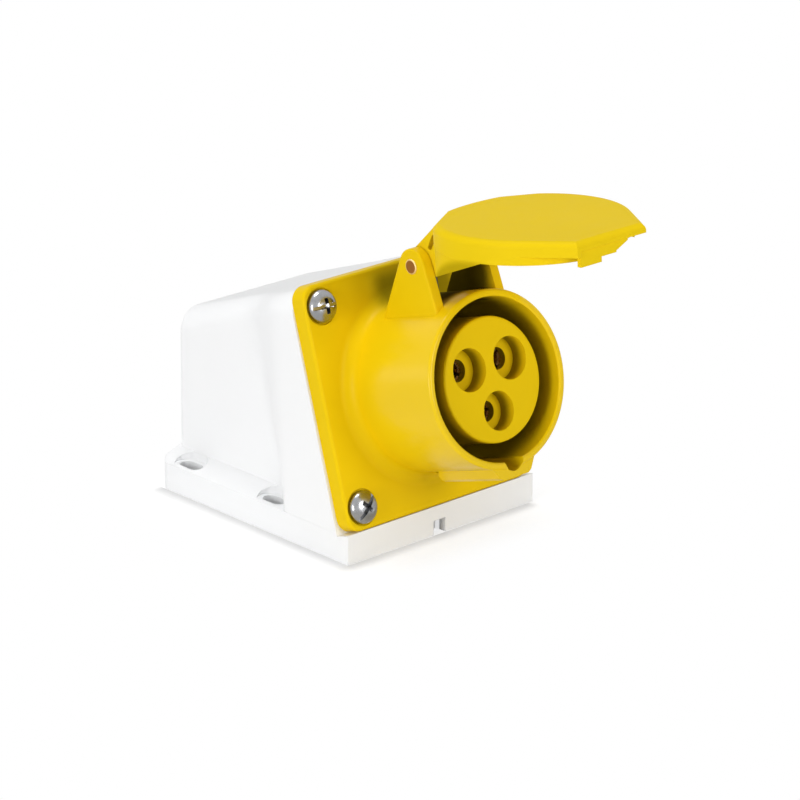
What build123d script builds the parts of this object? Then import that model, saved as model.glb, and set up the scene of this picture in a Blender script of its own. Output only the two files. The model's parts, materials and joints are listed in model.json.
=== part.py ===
from build123d import *
import math
import os

# Surface-mounted industrial socket with three contacts and a hinged lid, lying on the face that goes
# against the wall. Millimetres. X runs across, Y towards the cable entry, Z off the mounting face.
# The origin is the middle of the mounting face.

# Back box
box_width = 72.2
box_length = 83.3
box_wall = 2.6
floor_height = 8.0
ledge_edge_height = 8.2
ledge_root_height = 11.3
ledge_width = 7.6
body_rear_draft = 1.0
body_front_draft = 0.6
body_rear_height = 52.8
foot_flare_rear = -8.0
foot_flare_front = -17.0
top_flare_rear = 22.0
top_flare_front = -15.0
loft_height = 84.0
shoulder_radius = 7.0
rear_edge_radius = 2.5
base_corner_radius = 4.5
box_corner_radius = 1.2
rib_thickness = 1.8
drain_width = 4.7
drain_height = 4.4
drain_offset = -1.0

# Widths of the body, taken in from the box's own width
body_rear_width = box_width - 2 * ledge_width
body_top_rear_width = body_rear_width - 2 * body_rear_draft
body_top_front_width = box_width - 2 * body_front_draft

# Slots for the wall screws, in the two side ledges
slot_length = 8.0
slot_width = 4.5
slot_edge = 3.8
slot_rear_edge = 10.65
slot_pitch = 37.0
slot_seat_height = 8.4
slot_seat_margin = 1.6
slot_pad_margin = 2.6
slot_across = box_width - 2 * slot_edge
slot_rear = box_length / 2 - slot_rear_edge
slot_front = slot_rear - slot_pitch

# Flange of the socket housing
tilt = 16.8
flange_side_gap = 1.1
flange_height = 70.6
flange_thickness = 4.9
flange_corner = 4.5
flange_edge_radius = 0.9
flange_foot = 8.83
flange_overhang = 1.0
foot_gap = 0.06
gasket_inset = 1.4
gasket_width = 2.0
gasket_thickness = 1.5
gasket_inner_corner = 1.2
flange_width = box_width - 2 * flange_side_gap

# Flange screws
screw_side_inset = 6.0
screw_end_inset = 6.5
screw_diameter = 5.0
screw_clearance = 0.5
screw_head_diameter = 9.5
screw_head_height = 3.4
screw_length = 15.0
screw_recess_depth = 0.7
screw_recess_gap = 0.5
boss_diameter = 10.0
boss_length = 13.4
nut_diameter = 7.0
nut_length = 9.0
nut_groove_width = 1.2
nut_groove_depth = 0.5
head_skirt_share = 0.35
head_shoulder_share = 0.84
head_shoulder_reach = 0.74
head_chamfer = 0.3
head_recess_width = 1.2
head_recess_across = 5.2
head_recess_depth = 1.8
screw_across = flange_width - 2 * screw_side_inset
screw_up = flange_height - 2 * screw_end_inset

# Barrel
barrel_diameter = 50.5
barrel_wall = 2.1
barrel_length = 34.15
barrel_root_radius = 4.0
barrel_rim_radius = 0.9
collar_length = 4.1
barrel_floor = 2.5
key_width = 6.9
key_depth = 2.9
ridge_width = 12.0
ridge_depth = 2.5
ridge_start = 9.0
ridge_flank = 3.0
ridge_shoulder = 0.8
ridge_bevel = 1.2
ridge_root = 3.0
barrel_bore = barrel_diameter - 2 * barrel_wall

# Hinge
hinge_over_barrel = 10.15
hinge_out = 22.7
pin_diameter = 4.4
pin_proud = 0.3
hinge_clearance = 0.06
ear_thickness = 3.2
ear_outer_width = 26.6
ear_radius = 5.0
ear_base_rear = 5.7
ear_base_front = 29.4
ear_edge_radius = 0.6
ear_gap = 0.25
ear_sink = 2.6
hinge_up = barrel_diameter / 2 + hinge_over_barrel

# Contact insert
collar_space = 5.4
insert_recess = 2.3
insert_clearance = 0.1
insert_flange_rim = 2.75
insert_flange_thickness = 2.5
insert_edge_radius = 0.7
contact_circle = 17.8
counterbore_depth = 5.5
counterbore_upper = 12.2
counterbore_lower = 11.1
entry_upper = 6.4
entry_lower = 5.9
entry_wall = 2.2
contact_pocket = 10.2
insert_diameter = barrel_bore - 2 * collar_space
insert_flange_diameter = insert_diameter + 2 * insert_flange_rim

# Contact carrier and its screws
carrier_diameter = 40.0
carrier_depth = 13.5
carrier_plate_diameter = 47.0
carrier_flange_thickness = 2.5
carrier_lug_offset = 1.75
carrier_lug_radius = 3.6
carrier_screw_diameter = 3.0
carrier_screw_clearance = 0.1
carrier_screw_head = 5.6
carrier_screw_head_height = 2.0
carrier_screw_grip = 4.0
carrier_screw_tip_gap = 0.5
carrier_screw_head_edge = 0.8
carrier_recess_width = 1.0
carrier_recess_across = 3.2
carrier_recess_depth = 1.2
carrier_screw_circle = barrel_diameter + 2 * carrier_lug_offset
terminal_clearance = 0.15
terminal_access = 6.4

# Contacts
sleeve_diameter = 8.0
sleeve_bore = 5.2
sleeve_bore_depth = 20.0
sleeve_setback = 0.3
sleeve_slot = 0.8
sleeve_slot_depth = 14.0
sleeve_length = 27.0
sleeve_mouth_radius = 0.5
contact_collar_gap = 0.1
ring_setback = 4.5
ring_width = 1.4
ring_depth = 0.45
ring_stock = 0.8
ring_opening = 60.0
terminal_width = 9.0
terminal_length = 12.0
wire_hole = 4.2
wire_hole_depth = 10.0
clamp_diameter = 4.0
clamp_length = 6.5
clamp_slot = 0.8

# Lid, drawn shut over the barrel and then turned open about the hinge pin
lid_open_angle = 77.5
lid_rim = 1.95
lid_height = 17.0
lid_top = 2.4
lid_skirt_depth = 6.5
lid_skirt_gap = 0.5
lid_edge_radius = 2.0
tab_overhang = 2.6
tab_width = 26.0
tab_thickness = 2.6
neck_radius = 4.6
neck_shelf = 12.4
neck_face = 8.8
neck_drop = 1.0
neck_wall = 2.3
wrap_start = 13.8
wrap_drop = 0.7
wrap_heel = 11.5
wrap_end = 42.0
wrap_thickness = 1.25
ear_top_gap = 0.5
neck_slot_width = 1.5
neck_slot_start = (3.9, 4.8)
neck_slot_end = (6.2, 9.2)
neck_edge_arch = 1.1
corner_facets = ((0.65, 0.0), (1.2, 5.7))
skirt_corner_lift = 2.3
apron_thickness = 1.3
apron_inset = 0.3
apron_left = 11.6
apron_step = 3.8
apron_centre = 1.8
apron_right = 6.2
apron_drop = 7.1
apron_middle_drop = 5.65
apron_slope_drop = 5.2
apron_right_drop = 3.25
skirt_cut_left = 8.4
skirt_cut_right = 18.0
skirt_cut_drop = 4.6
gasket_ring_gap = 0.3
gasket_ring_inner = 45.2
gasket_ring_outer = 51.0
retainer_thickness = 1.5
retainer_depth = 1.9
lid_diameter = barrel_diameter + 2 * lid_rim
tab_reach = hinge_up + lid_diameter / 2 + tab_overhang

# Lid spring
spring_wire = 0.9
spring_inner = 5.2
spring_turns = 4
spring_pitch = 1.15
spring_leg = 12.0
spring_gap = 0.3

# Cable gland in the rear wall
gland_height = 28.0
gland_thread = 20.0
gland_hole_gap = 0.25
gland_flange_across = 25.0
gland_flange_length = 4.5
gland_neck_length = 6.0
gland_inside_length = 10.0
gland_bore = 13.0
gland_washer_diameter = 26.0
gland_washer_thickness = 1.2
gland_cap_across = 24.0
gland_cap_length = 11.0
gland_cap_opening = 11.5
gland_seal_bore = 9.0
gland_seal_length = 9.0
gland_thread_depth = 0.5
gland_cap_gap = 0.5
gland_cap_corner_share = 1.08
gland_cap_edge_radius = 2.5
locknut_across = 26.0
locknut_thickness = 4.5


def direction_up():
    return Vector(0, math.sin(math.radians(tilt)), math.cos(math.radians(tilt)))


def direction_out():
    return Vector(0, -math.cos(math.radians(tilt)), math.sin(math.radians(tilt)))


flange_base = Vector(0, -box_length / 2, flange_foot)
flange_centre = flange_base + direction_up() * (flange_height / 2)
flange_plane = Plane(origin=flange_centre, x_dir=(1, 0, 0), z_dir=direction_out())

# Distances along the barrel's axis, counted outwards from the flange's front face
flange_back = -flange_thickness
collar_back = flange_back - collar_length
floor_face = collar_back + barrel_floor
insert_face = barrel_length - insert_recess
insert_back = collar_back - insert_flange_thickness
carrier_back = insert_back - carrier_depth
pocket_face = insert_face - counterbore_depth - entry_wall
sleeve_front = pocket_face - sleeve_setback
lid_face = hinge_out + lid_height
lid_under = lid_face - lid_top
skirt_end = lid_face - lid_skirt_depth
gasket_ring_face = barrel_length + gasket_ring_gap

contact_places = {
    "left_contact": (150, counterbore_upper, entry_upper),
    "right_contact": (30, counterbore_upper, entry_upper),
    "lower_contact": (270, counterbore_lower, entry_lower),
}
carrier_screw_angles = (90, 210, 330)


def on_flange(shape):
    """Place a shape drawn in the flange's own axes: across, up the flange, out of its face."""
    return flange_plane.location * shape


def back_point(up):
    """Y and Z of a point on the flange's back face, at a distance up from the flange's centre."""
    point = flange_centre + direction_up() * up - direction_out() * flange_thickness
    return point.Y, point.Z


def rod(diameter, start, end, x=0.0, y=0.0):
    """Round bar along Z between two heights."""
    return Pos(x, y, (start + end) / 2) * Cylinder(diameter / 2, abs(end - start))


def at_angle(circle, degrees):
    """Point on a circle about the barrel's axis."""
    a = math.radians(degrees)
    return circle / 2 * math.cos(a), circle / 2 * math.sin(a)


def side_prism(points, half_width):
    """Solid with a side profile in Y and Z, as wide as asked on both sides of the middle."""
    return extrude(Plane.YZ * Polygon(*points, align=None), amount=half_width, both=True)


def body_plan(rear_half, front_half, flare_rear, flare_front):
    """Plan of the body: parallel at the rear, then flared out to the flange's width."""
    rear = box_length / 2
    front = -box_length / 2 - flange_thickness
    straight = Line((rear_half, rear), (rear_half, flare_rear))
    flare = Spline((rear_half, flare_rear), (front_half, flare_front), tangents=[(0, -1), (0, -1)])
    cheek = Line((front_half, flare_front), (front_half, front))
    side = straight + flare + cheek
    ends = Line((-rear_half, rear), (rear_half, rear)) + Line((-front_half, front), (front_half, front))
    return make_face(side + mirror(side, Plane.YZ) + ends)


def body_form(inset, profile, radius):
    """Flared body between the foot plan and the top plan, cut to its side profile."""
    foot = body_plan(body_rear_width / 2 - inset, box_width / 2 - inset, foot_flare_rear, foot_flare_front)
    top = body_plan(body_top_rear_width / 2 - inset, body_top_front_width / 2 - inset,
                    top_flare_rear, top_flare_front)
    form = loft([foot.faces()[0], (Pos(0, 0, loft_height) * top).faces()[0]], ruled=True)
    form = form & side_prism(profile, box_width)
    shoulders = [e for e in form.edges() if is_shoulder(e, profile)]
    return fillet(shoulders, radius)


def is_shoulder(edge, profile):
    """True for an edge that runs along the sloping roof, on either side of it."""
    (y0, z0), (y1, z1) = profile[0], profile[1]
    middle = edge.position_at(0.5)
    roof = z0 + (z1 - z0) * (middle.Y - y0) / (y1 - y0)
    ends = edge.position_at(1) - edge.position_at(0)
    return abs(middle.Z - roof) < 0.05 and abs(ends.Y) > abs(ends.X)


def outer_profile():
    """Side profile of the body. The first two points are the roof's ends."""
    return [
        back_point(flange_height / 2 - flange_overhang),
        (box_length / 2, body_rear_height),
        (box_length / 2, 0),
        (-box_length / 2, 0),
        (-box_length / 2, flange_foot - foot_gap),
        back_point(-flange_height / 2 - foot_gap),
    ]


def inner_profile():
    """Side profile of the hollow, open towards the flange."""
    mouth_top = back_point(flange_height / 2 - flange_overhang - box_wall)
    mouth_foot = back_point(-flange_height / 2 + box_wall)
    overrun = direction_out() * 4
    return [
        (mouth_top[0] + overrun.Y, mouth_top[1] + overrun.Z),
        (box_length / 2 - box_wall, body_rear_height - box_wall),
        (box_length / 2 - box_wall, floor_height),
        (mouth_foot[0] + box_wall, floor_height),
        mouth_foot,
        (mouth_foot[0] + overrun.Y, mouth_foot[1] + overrun.Z),
    ]


def ledge_base():
    """Foot of the box with a sloping ledge along each side, cut to the flange at the front."""
    half = box_width / 2
    root = body_rear_width / 2 - box_wall / 2
    section = Polygon((-half, 0), (half, 0), (half, ledge_edge_height), (root, ledge_root_height),
                      (-root, ledge_root_height), (-half, ledge_edge_height), align=None)
    foot = extrude(Plane.XZ * section, amount=box_length / 2, both=True)
    corners = foot.edges().filter_by(Axis.Z)
    foot = fillet(corners.sort_by(Axis.Y)[-2:], base_corner_radius)
    foot = fillet(foot.edges().filter_by(Axis.Z).sort_by(Axis.Y)[:2], box_corner_radius)
    return foot & side_prism(outer_profile(), box_width)


def slot_places():
    return [(sx * slot_across / 2, y) for sx in (-1, 1) for y in (slot_front, slot_rear)]


def slot_prism(margin, start, end, x, y):
    """Slot-shaped bar along Z, wider than the screw slot by a margin all round."""
    shape = SlotOverall(slot_length + 2 * margin, slot_width + 2 * margin, rotation=90)
    return extrude(Pos(x, y, start) * shape, amount=end - start)


def screw_bosses():
    """Four bosses that take the flange screws, standing back from the mouth of the box."""
    bosses = []
    for sx in (-1, 1):
        for sy in (-1, 1):
            x, y = sx * screw_across / 2, sy * screw_up / 2
            bosses.append(on_flange(rod(boss_diameter, flange_back, flange_back - boss_length, x, y)))
    return bosses


def boss_bores():
    """Seats of the threaded inserts, with room behind them for the screw's end."""
    bores = []
    for sx in (-1, 1):
        for sy in (-1, 1):
            x, y = sx * screw_across / 2, sy * screw_up / 2
            bores.append(on_flange(rod(nut_diameter, flange_back + 1, flange_back - nut_length, x, y)))
            bores.append(on_flange(rod(screw_diameter + screw_clearance, flange_back,
                                       flange_back - boss_length + box_wall / 2, x, y)))
    return bores


def make_back_box():
    body = body_form(0, outer_profile(), shoulder_radius)
    rear_edges = [e for e in body.edges() if on_rear_face(e)]
    body = fillet(rear_edges, rear_edge_radius)
    shell = body + ledge_base()
    hollow = body_form(box_wall, inner_profile(), shoulder_radius - box_wall)
    for boss in screw_bosses():
        hollow = hollow - boss
    shell = shell - hollow
    under_height = floor_height - box_wall
    inside_width = box_width - 2 * box_wall
    inside_length = box_length - 2 * box_wall
    recess = Pos(0, 0, under_height / 2) * Box(inside_width, inside_length, under_height)
    for x, y in slot_places():
        recess = recess - slot_prism(slot_pad_margin, 0, under_height, x, y)
    rib_across = Box(box_width, rib_thickness, under_height)
    rib_across = Pos(0, (slot_front + slot_rear) / 2, under_height / 2) * rib_across
    rib_along = Pos(0, 0, under_height / 2) * Box(rib_thickness, box_length, under_height)
    drain = Box(drain_width, 3 * box_wall, drain_height)
    drain = Pos(drain_offset, -box_length / 2, drain_height / 2) * drain
    shell = shell - (recess - rib_across - rib_along) - drain
    for x, y in slot_places():
        shell = shell - slot_prism(0, -1, ledge_root_height, x, y)
        shell = shell - slot_prism(slot_seat_margin, slot_seat_height, ledge_root_height + 1, x, y)
    for bore in boss_bores():
        shell = shell - bore
    return shell - gland_bar(gland_thread + 2 * gland_hole_gap, -2 * box_wall, box_wall)


def on_rear_face(edge):
    """True for the edges round the body's rear face, apart from the one on the floor."""
    rear = box_length / 2
    ends = [edge.position_at(t) for t in (0, 0.5, 1)]
    return all(abs(p.Y - rear) < 0.01 for p in ends) and ends[1].Z > 0.1


def gland_bar(diameter, start, end):
    """Round bar along Y at the cable entry, counted outwards from the rear wall's face."""
    middle = box_length / 2 + (start + end) / 2
    return Pos(0, middle, gland_height) * Rot(90, 0, 0) * Cylinder(diameter / 2, abs(end - start))


def gland_hexagon(across, start, end):
    """Hexagonal bar along Y at the cable entry."""
    shape = RegularPolygon(across / 2, 6, major_radius=False)
    bar = extrude(shape, amount=abs(end - start))
    return Pos(0, box_length / 2 + max(start, end), gland_height) * Rot(90, 0, 0) * bar


def make_flange_gasket():
    outer = flange_width - 2 * gasket_inset
    tall = flange_height - 2 * gasket_inset
    ring = RectangleRounded(outer, tall, flange_corner - gasket_inset)
    ring = ring - RectangleRounded(outer - 2 * gasket_width, tall - 2 * gasket_width, gasket_inner_corner)
    return on_flange(extrude(Pos(0, 0, flange_back) * ring, amount=gasket_thickness))


def barrel_section():
    """Half section of barrel, flange foot and rear collar, turned about the barrel's axis."""
    outer = barrel_diameter / 2
    bore = barrel_bore / 2
    foot = outer + barrel_root_radius
    rim = barrel_rim_radius
    lines = Polyline((insert_diameter / 2 + insert_clearance, collar_back), (outer, collar_back),
                     (outer, flange_back), (foot, flange_back), (foot, 0))
    lines += CenterArc((foot, barrel_root_radius), barrel_root_radius, 180, 90)
    lines += Line((outer, barrel_root_radius), (outer, barrel_length - rim))
    lines += CenterArc((outer - rim, barrel_length - rim), rim, 0, 90)
    lines += Line((outer - rim, barrel_length), (bore + rim / 2, barrel_length))
    lines += Line((bore + rim / 2, barrel_length), (bore, barrel_length - rim / 2))
    lines += Polyline((bore, barrel_length - rim / 2), (bore, floor_face),
                      (insert_diameter / 2 + insert_clearance, floor_face),
                      (insert_diameter / 2 + insert_clearance, collar_back))
    return make_face(lines)


def ear_profile(grow):
    """Outline of a hinge ear in a plane through the barrel's axis: round over the pin, wide at its foot."""
    foot_up = barrel_bore / 2 - ear_sink
    tip = Pos(hinge_up, hinge_out) * Circle(ear_radius + grow)
    foot = Line((foot_up, ear_base_rear - grow), (foot_up, ear_base_front + grow))
    return make_hull(tip.edges() + foot.edges())


def upright(sketch, half_width):
    """Solid across X from a sketch whose first axis is up the flange and whose second is out of it."""
    return extrude(Plane.YZ * sketch, amount=half_width, both=True)


def make_ears():
    blank = upright(ear_profile(0), ear_outer_width / 2)
    blank = fillet([e for e in blank.edges() if abs(abs(e.center().X) - ear_outer_width / 2) < 0.01
                    and e.position_at(0.5).Y > barrel_diameter / 2], ear_edge_radius)
    space = Box(ear_outer_width - 2 * ear_thickness, 4 * hinge_up, 4 * hinge_up)
    return blank - space


def make_ridge():
    """Rib under the barrel that leaves room for the keyway."""
    half = ridge_width / 2
    low = -barrel_diameter / 2 - ridge_depth
    root = low + ridge_depth + ridge_root
    shoulder = low + ridge_shoulder
    flat = half - ridge_bevel
    section = Polygon((-half - ridge_flank, root), (-half, shoulder), (-flat, low),
                      (flat, low), (half, shoulder), (half + ridge_flank, root), align=None)
    ridge_length = barrel_length - ridge_start - barrel_rim_radius / 2
    rib = extrude(Pos(0, 0, ridge_start) * section, amount=ridge_length)
    rounder = Rot(90, 0, 0) * Cylinder(half + ridge_flank, 4 * barrel_diameter)
    front = Pos(0, 0, barrel_length) * Box(4 * half, 4 * barrel_diameter, 2 * barrel_length)
    return rib & Pos(0, 0, ridge_start + half) * (rounder + front)


def make_keyway():
    """Half-round groove along the bottom of the bore."""
    width = key_width / 2
    low = -barrel_bore / 2 - key_depth
    groove = Pos(0, low + width) * Circle(width)
    groove += Pos(0, low + width + barrel_bore / 8) * Rectangle(key_width, barrel_bore / 4)
    return extrude(Pos(0, 0, floor_face) * groove, amount=2 * barrel_length)


def flange_plate():
    plate = extrude(Pos(0, 0, flange_back) * RectangleRounded(flange_width, flange_height, flange_corner),
                    amount=flange_thickness)
    return fillet(plate.faces().sort_by(Axis.Z)[-1].edges(), flange_edge_radius)


def flange_holes():
    holes = []
    for sx in (-1, 1):
        for sy in (-1, 1):
            x, y = sx * screw_across / 2, sy * screw_up / 2
            holes.append(rod(screw_diameter + screw_clearance, flange_back - 1, 1, x, y))
            holes.append(rod(screw_head_diameter + 2 * screw_recess_gap, -screw_recess_depth, 1, x, y))
    return holes


def make_socket_housing():
    body = flange_plate() + revolve(Plane.XZ * barrel_section(), Axis.Z)
    body = body + make_ears() + make_ridge()
    for angle in carrier_screw_angles:
        x, y = at_angle(carrier_screw_circle, angle)
        body = body + rod(2 * carrier_lug_radius, flange_back, collar_back, x, y)
    body = body - rod(barrel_bore, floor_face, 2 * barrel_length)
    body = body - rod(insert_diameter + 2 * insert_clearance, collar_back - 1, floor_face + 1)
    body = body - make_keyway()
    for hole in flange_holes():
        body = body - hole
    for angle in carrier_screw_angles:
        x, y = at_angle(carrier_screw_circle, angle)
        body = body - rod(carrier_screw_diameter, collar_back - 1, collar_back + carrier_screw_grip, x, y)
    pin_bore = Rot(0, 90, 0) * Cylinder(pin_diameter / 2, 2 * ear_outer_width)
    body = body - Pos(0, hinge_up, hinge_out) * pin_bore
    return on_flange(body) - make_flange_gasket()


def lug_plate(start, end):
    """Round plate with the three screw lugs of the carrier."""
    plate = rod(carrier_plate_diameter, start, end)
    for angle in carrier_screw_angles:
        x, y = at_angle(carrier_screw_circle, angle)
        web = Rot(0, 0, angle) * Pos(carrier_screw_circle / 4, 0, (start + end) / 2)
        plate = plate + web * Box(carrier_screw_circle / 2, 2 * carrier_lug_radius, abs(end - start))
        plate = plate + rod(2 * carrier_lug_radius, start, end, x, y)
    for angle in carrier_screw_angles:
        x, y = at_angle(carrier_screw_circle, angle)
        plate = plate - rod(carrier_screw_diameter + 2 * carrier_screw_clearance, start - 1, end + 1, x, y)
    return plate


def make_contact_insert():
    core = rod(insert_diameter, collar_back, insert_face)
    core = fillet(core.faces().sort_by(Axis.Z)[-1].edges(), insert_edge_radius)
    insert = core + rod(insert_flange_diameter, insert_back, collar_back)
    for angle, counterbore, entry in contact_places.values():
        x, y = at_angle(contact_circle, angle)
        insert = insert - rod(counterbore, insert_face - counterbore_depth, insert_face + 1, x, y)
        insert = insert - rod(entry, pocket_face - 1, insert_face, x, y)
        insert = insert - rod(contact_pocket, insert_back - 1, pocket_face, x, y)
    return on_flange(insert)


def terminal_cube(angle, width, start, end, reach):
    """Square bar behind a contact, one face turned outwards, drawn out to a reach from its middle."""
    middle = contact_circle / 2 + (reach - width / 2) / 2
    block = Box(width / 2 + reach, width, abs(end - start))
    return Rot(0, 0, angle) * Pos(middle, 0, (start + end) / 2) * block


def radial_rod(angle, diameter, inner, outer, height):
    """Round bar that points away from the barrel's axis."""
    bar = Pos((inner + outer) / 2, 0, height) * Rot(0, 90, 0) * Cylinder(diameter / 2, outer - inner)
    return Rot(0, 0, angle) * bar


def clamp_height():
    return insert_back - terminal_length / 2


def make_contact_carrier():
    carrier = rod(carrier_diameter, carrier_back, insert_back)
    carrier = fillet(carrier.faces().sort_by(Axis.Z)[0].edges(), insert_edge_radius)
    carrier = carrier + lug_plate(insert_back - carrier_flange_thickness, collar_back)
    carrier = carrier - rod(insert_flange_diameter + 2 * insert_clearance, insert_back, collar_back + 1)
    width = terminal_width + 2 * terminal_clearance
    for angle, _, _ in contact_places.values():
        carrier = carrier - terminal_cube(angle, width, insert_back + 1, carrier_back - 1, width / 2)
        access = radial_rod(angle, terminal_access, contact_circle / 2, carrier_diameter, clamp_height())
        carrier = carrier - access
    return on_flange(carrier)


def make_contact(angle):
    """Slit sleeve that grips the plug's pin, its collar, and the terminal block behind it."""
    x, y = at_angle(contact_circle, angle)
    collar_front = sleeve_front - sleeve_length
    contact = rod(sleeve_diameter, collar_front, sleeve_front, x, y)
    contact = fillet(contact.faces().sort_by(Axis.Z)[-1].edges(), sleeve_mouth_radius)
    contact = contact + rod(contact_pocket - 2 * contact_collar_gap, insert_back, collar_front, x, y)
    contact = contact + terminal_cube(angle, terminal_width, insert_back, insert_back - terminal_length,
                                      terminal_width / 2)
    contact = contact - rod(sleeve_bore, sleeve_front - sleeve_bore_depth, sleeve_front + 1, x, y)
    slit_middle = sleeve_front - sleeve_slot_depth / 2
    for turn in (0, 90):
        slit = Box(sleeve_slot, 2 * sleeve_diameter, sleeve_slot_depth)
        contact = contact - Pos(x, y, slit_middle) * Rot(0, 0, angle + turn) * slit
    contact = contact - ring_shape(angle, sleeve_diameter / 2 - ring_depth, sleeve_diameter, 0)
    block_back = insert_back - terminal_length
    contact = contact - rod(wire_hole, block_back - 1, block_back + wire_hole_depth, x, y)
    clamp_tip = contact_circle / 2 + wire_hole / 4
    contact = contact - radial_rod(angle, clamp_diameter, clamp_tip, carrier_diameter, clamp_height())
    return on_flange(contact)


def ring_shape(angle, inner, outer, opening):
    """Ring round a contact sleeve, with an opening of so many degrees turned outwards."""
    x, y = at_angle(contact_circle, angle)
    front = sleeve_front - ring_setback
    ring = rod(2 * outer, front - ring_width, front) - rod(2 * inner, front - ring_width - 1, front + 1)
    if opening:
        wedge = Polygon((0, 0), (4 * outer, 4 * outer * math.tan(math.radians(opening / 2))),
                        (4 * outer, -4 * outer * math.tan(math.radians(opening / 2))), align=None)
        ring = ring - extrude(Pos(0, 0, front - 2 * ring_width) * wedge, amount=4 * ring_width)
    return Pos(x, y, 0) * Rot(0, 0, angle) * ring


def make_spring_rings():
    inner = sleeve_diameter / 2 - ring_depth
    rings = [on_flange(ring_shape(angle, inner, inner + ring_stock, ring_opening))
             for angle, _, _ in contact_places.values()]
    return Compound(children=[r.solids()[0] for r in rings])


def make_terminal_screws():
    screws = []
    for angle, _, _ in contact_places.values():
        tip = contact_circle / 2 + wire_hole / 4
        end = tip + clamp_length
        screw = radial_rod(angle, clamp_diameter, tip, end, clamp_height())
        slot = Pos(end, 0, clamp_height()) * Box(2 * clamp_slot, 2 * clamp_diameter, clamp_slot)
        screws.append(on_flange(screw - Rot(0, 0, angle) * slot).solids()[0])
    return Compound(children=screws)


def make_carrier_screws():
    screws = []
    seat = insert_back - carrier_flange_thickness
    for angle in carrier_screw_angles:
        x, y = at_angle(carrier_screw_circle, angle)
        tip = collar_back + carrier_screw_grip - carrier_screw_tip_gap
        screw = rod(carrier_screw_diameter, seat, tip, x, y)
        top = seat - carrier_screw_head_height
        head = rod(carrier_screw_head, top, seat, x, y)
        head = fillet(head.faces().sort_by(Axis.Z)[0].edges(), carrier_screw_head_edge)
        recess = cross_recess(carrier_recess_width, carrier_recess_across, 2 * carrier_recess_depth)
        head = head - Pos(x, y, top) * recess
        screws.append(on_flange(screw + head).solids()[0])
    return Compound(children=screws)


def cross_recess(width, across, depth):
    """Cross-shaped driver recess, centred on the face it is cut into."""
    return Box(across, width, depth) + Box(width, across, depth)


def screw_head():
    """Domed pan head turned about its axis, sitting on its seat at height zero."""
    half = screw_head_diameter / 2
    edge = screw_head_height * head_skirt_share
    shoulder = (half * head_shoulder_reach, screw_head_height * head_shoulder_share)
    section = Polyline((0, 0), (half - head_chamfer, 0), (half, head_chamfer), (half, edge))
    section += ThreePointArc((half, edge), shoulder, (0, screw_head_height))
    section += Line((0, screw_head_height), (0, 0))
    return revolve(Plane.XZ * make_face(section), Axis.Z)


def make_flange_screws():
    screws = []
    seat = -screw_recess_depth
    for sx in (-1, 1):
        for sy in (-1, 1):
            recess = cross_recess(head_recess_width, head_recess_across, 2 * head_recess_depth)
            head = screw_head() - Pos(0, 0, screw_head_height) * recess
            shank = rod(screw_diameter, -screw_length, 0)
            place = Pos(sx * screw_across / 2, sy * screw_up / 2, seat)
            screws.append(on_flange(place * (head + shank)).solids()[0])
    return Compound(children=screws)


def make_flange_nuts():
    """Threaded inserts moulded into the box's bosses."""
    nuts = []
    for sx in (-1, 1):
        for sy in (-1, 1):
            nut = rod(nut_diameter, -nut_length, 0) - rod(screw_diameter, -2 * nut_length, 1)
            groove_end = (nut_groove_width - nut_length) / 2
            waist = rod(2 * nut_diameter, groove_end - nut_groove_width, groove_end)
            nut = nut - (waist - rod(nut_diameter - 2 * nut_groove_depth, -nut_length, 0))
            place = Pos(sx * screw_across / 2, sy * screw_up / 2, flange_back)
            nuts.append(on_flange(place * nut).solids()[0])
    return Compound(children=nuts)


def open_lid(shape):
    """Turn a shape drawn on the shut lid about the hinge pin, and set it on the flange."""
    turn = Pos(0, hinge_up, hinge_out) * Rot(-lid_open_angle, 0, 0) * Pos(0, -hinge_up, -hinge_out)
    return on_flange(turn * shape)


def lid_outline():
    """Disc over the barrel, drawn out to a straight tab at its free end."""
    tab_up = hinge_up - tab_reach
    disc = Circle(lid_diameter / 2)
    edge = Line((-tab_width / 2, tab_up), (tab_width / 2, tab_up))
    return make_hull(disc.edges() + edge.edges())


def neck_blank(half_width):
    """Arm from the lid's edge down to the hinge pin, as wide as asked."""
    knuckle = Pos(hinge_up, hinge_out) * Circle(neck_radius)
    shelf = Line((hinge_up - 2 * neck_shelf, lid_face), (hinge_up - neck_shelf, lid_face))
    foot = Line((hinge_up - neck_face, hinge_out - neck_drop), (hinge_up - neck_face, skirt_end))
    return upright(make_hull(knuckle.edges() + shelf.edges() + foot.edges()), half_width)


def neck_touch():
    """Point where the neck's sloping back leaves the knuckle round the pin."""
    reach = math.hypot(neck_shelf, lid_height)
    turn = math.atan2(lid_height, neck_shelf) + math.acos(neck_radius / reach)
    return hinge_up - neck_radius * math.cos(turn), hinge_out + neck_radius * math.sin(turn)


def neck_half_width():
    return ear_outer_width / 2 - ear_thickness - ear_gap


def neck_slope():
    """Run of the neck's sloping back for each millimetre that it drops."""
    touch = neck_touch()
    return (touch[0] - hinge_up + neck_shelf) / (lid_face - touch[1])


def beyond_corners():
    """Space beyond the slanting facets that trim the lid's edge on both sides of the neck."""
    spaces = []
    for slope, stand_off in corner_facets:
        for sx in (-1, 1):
            corner = (sx * neck_half_width(), hinge_up - neck_shelf + stand_off, lid_face)
            facet = Plane(origin=corner, z_dir=(sx * slope, 1, neck_slope()))
            room = Pos(0, 0, lid_diameter / 2) * Box(2 * lid_diameter, 2 * lid_diameter, lid_diameter)
            spaces.append(facet.location * room)
    return spaces


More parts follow.
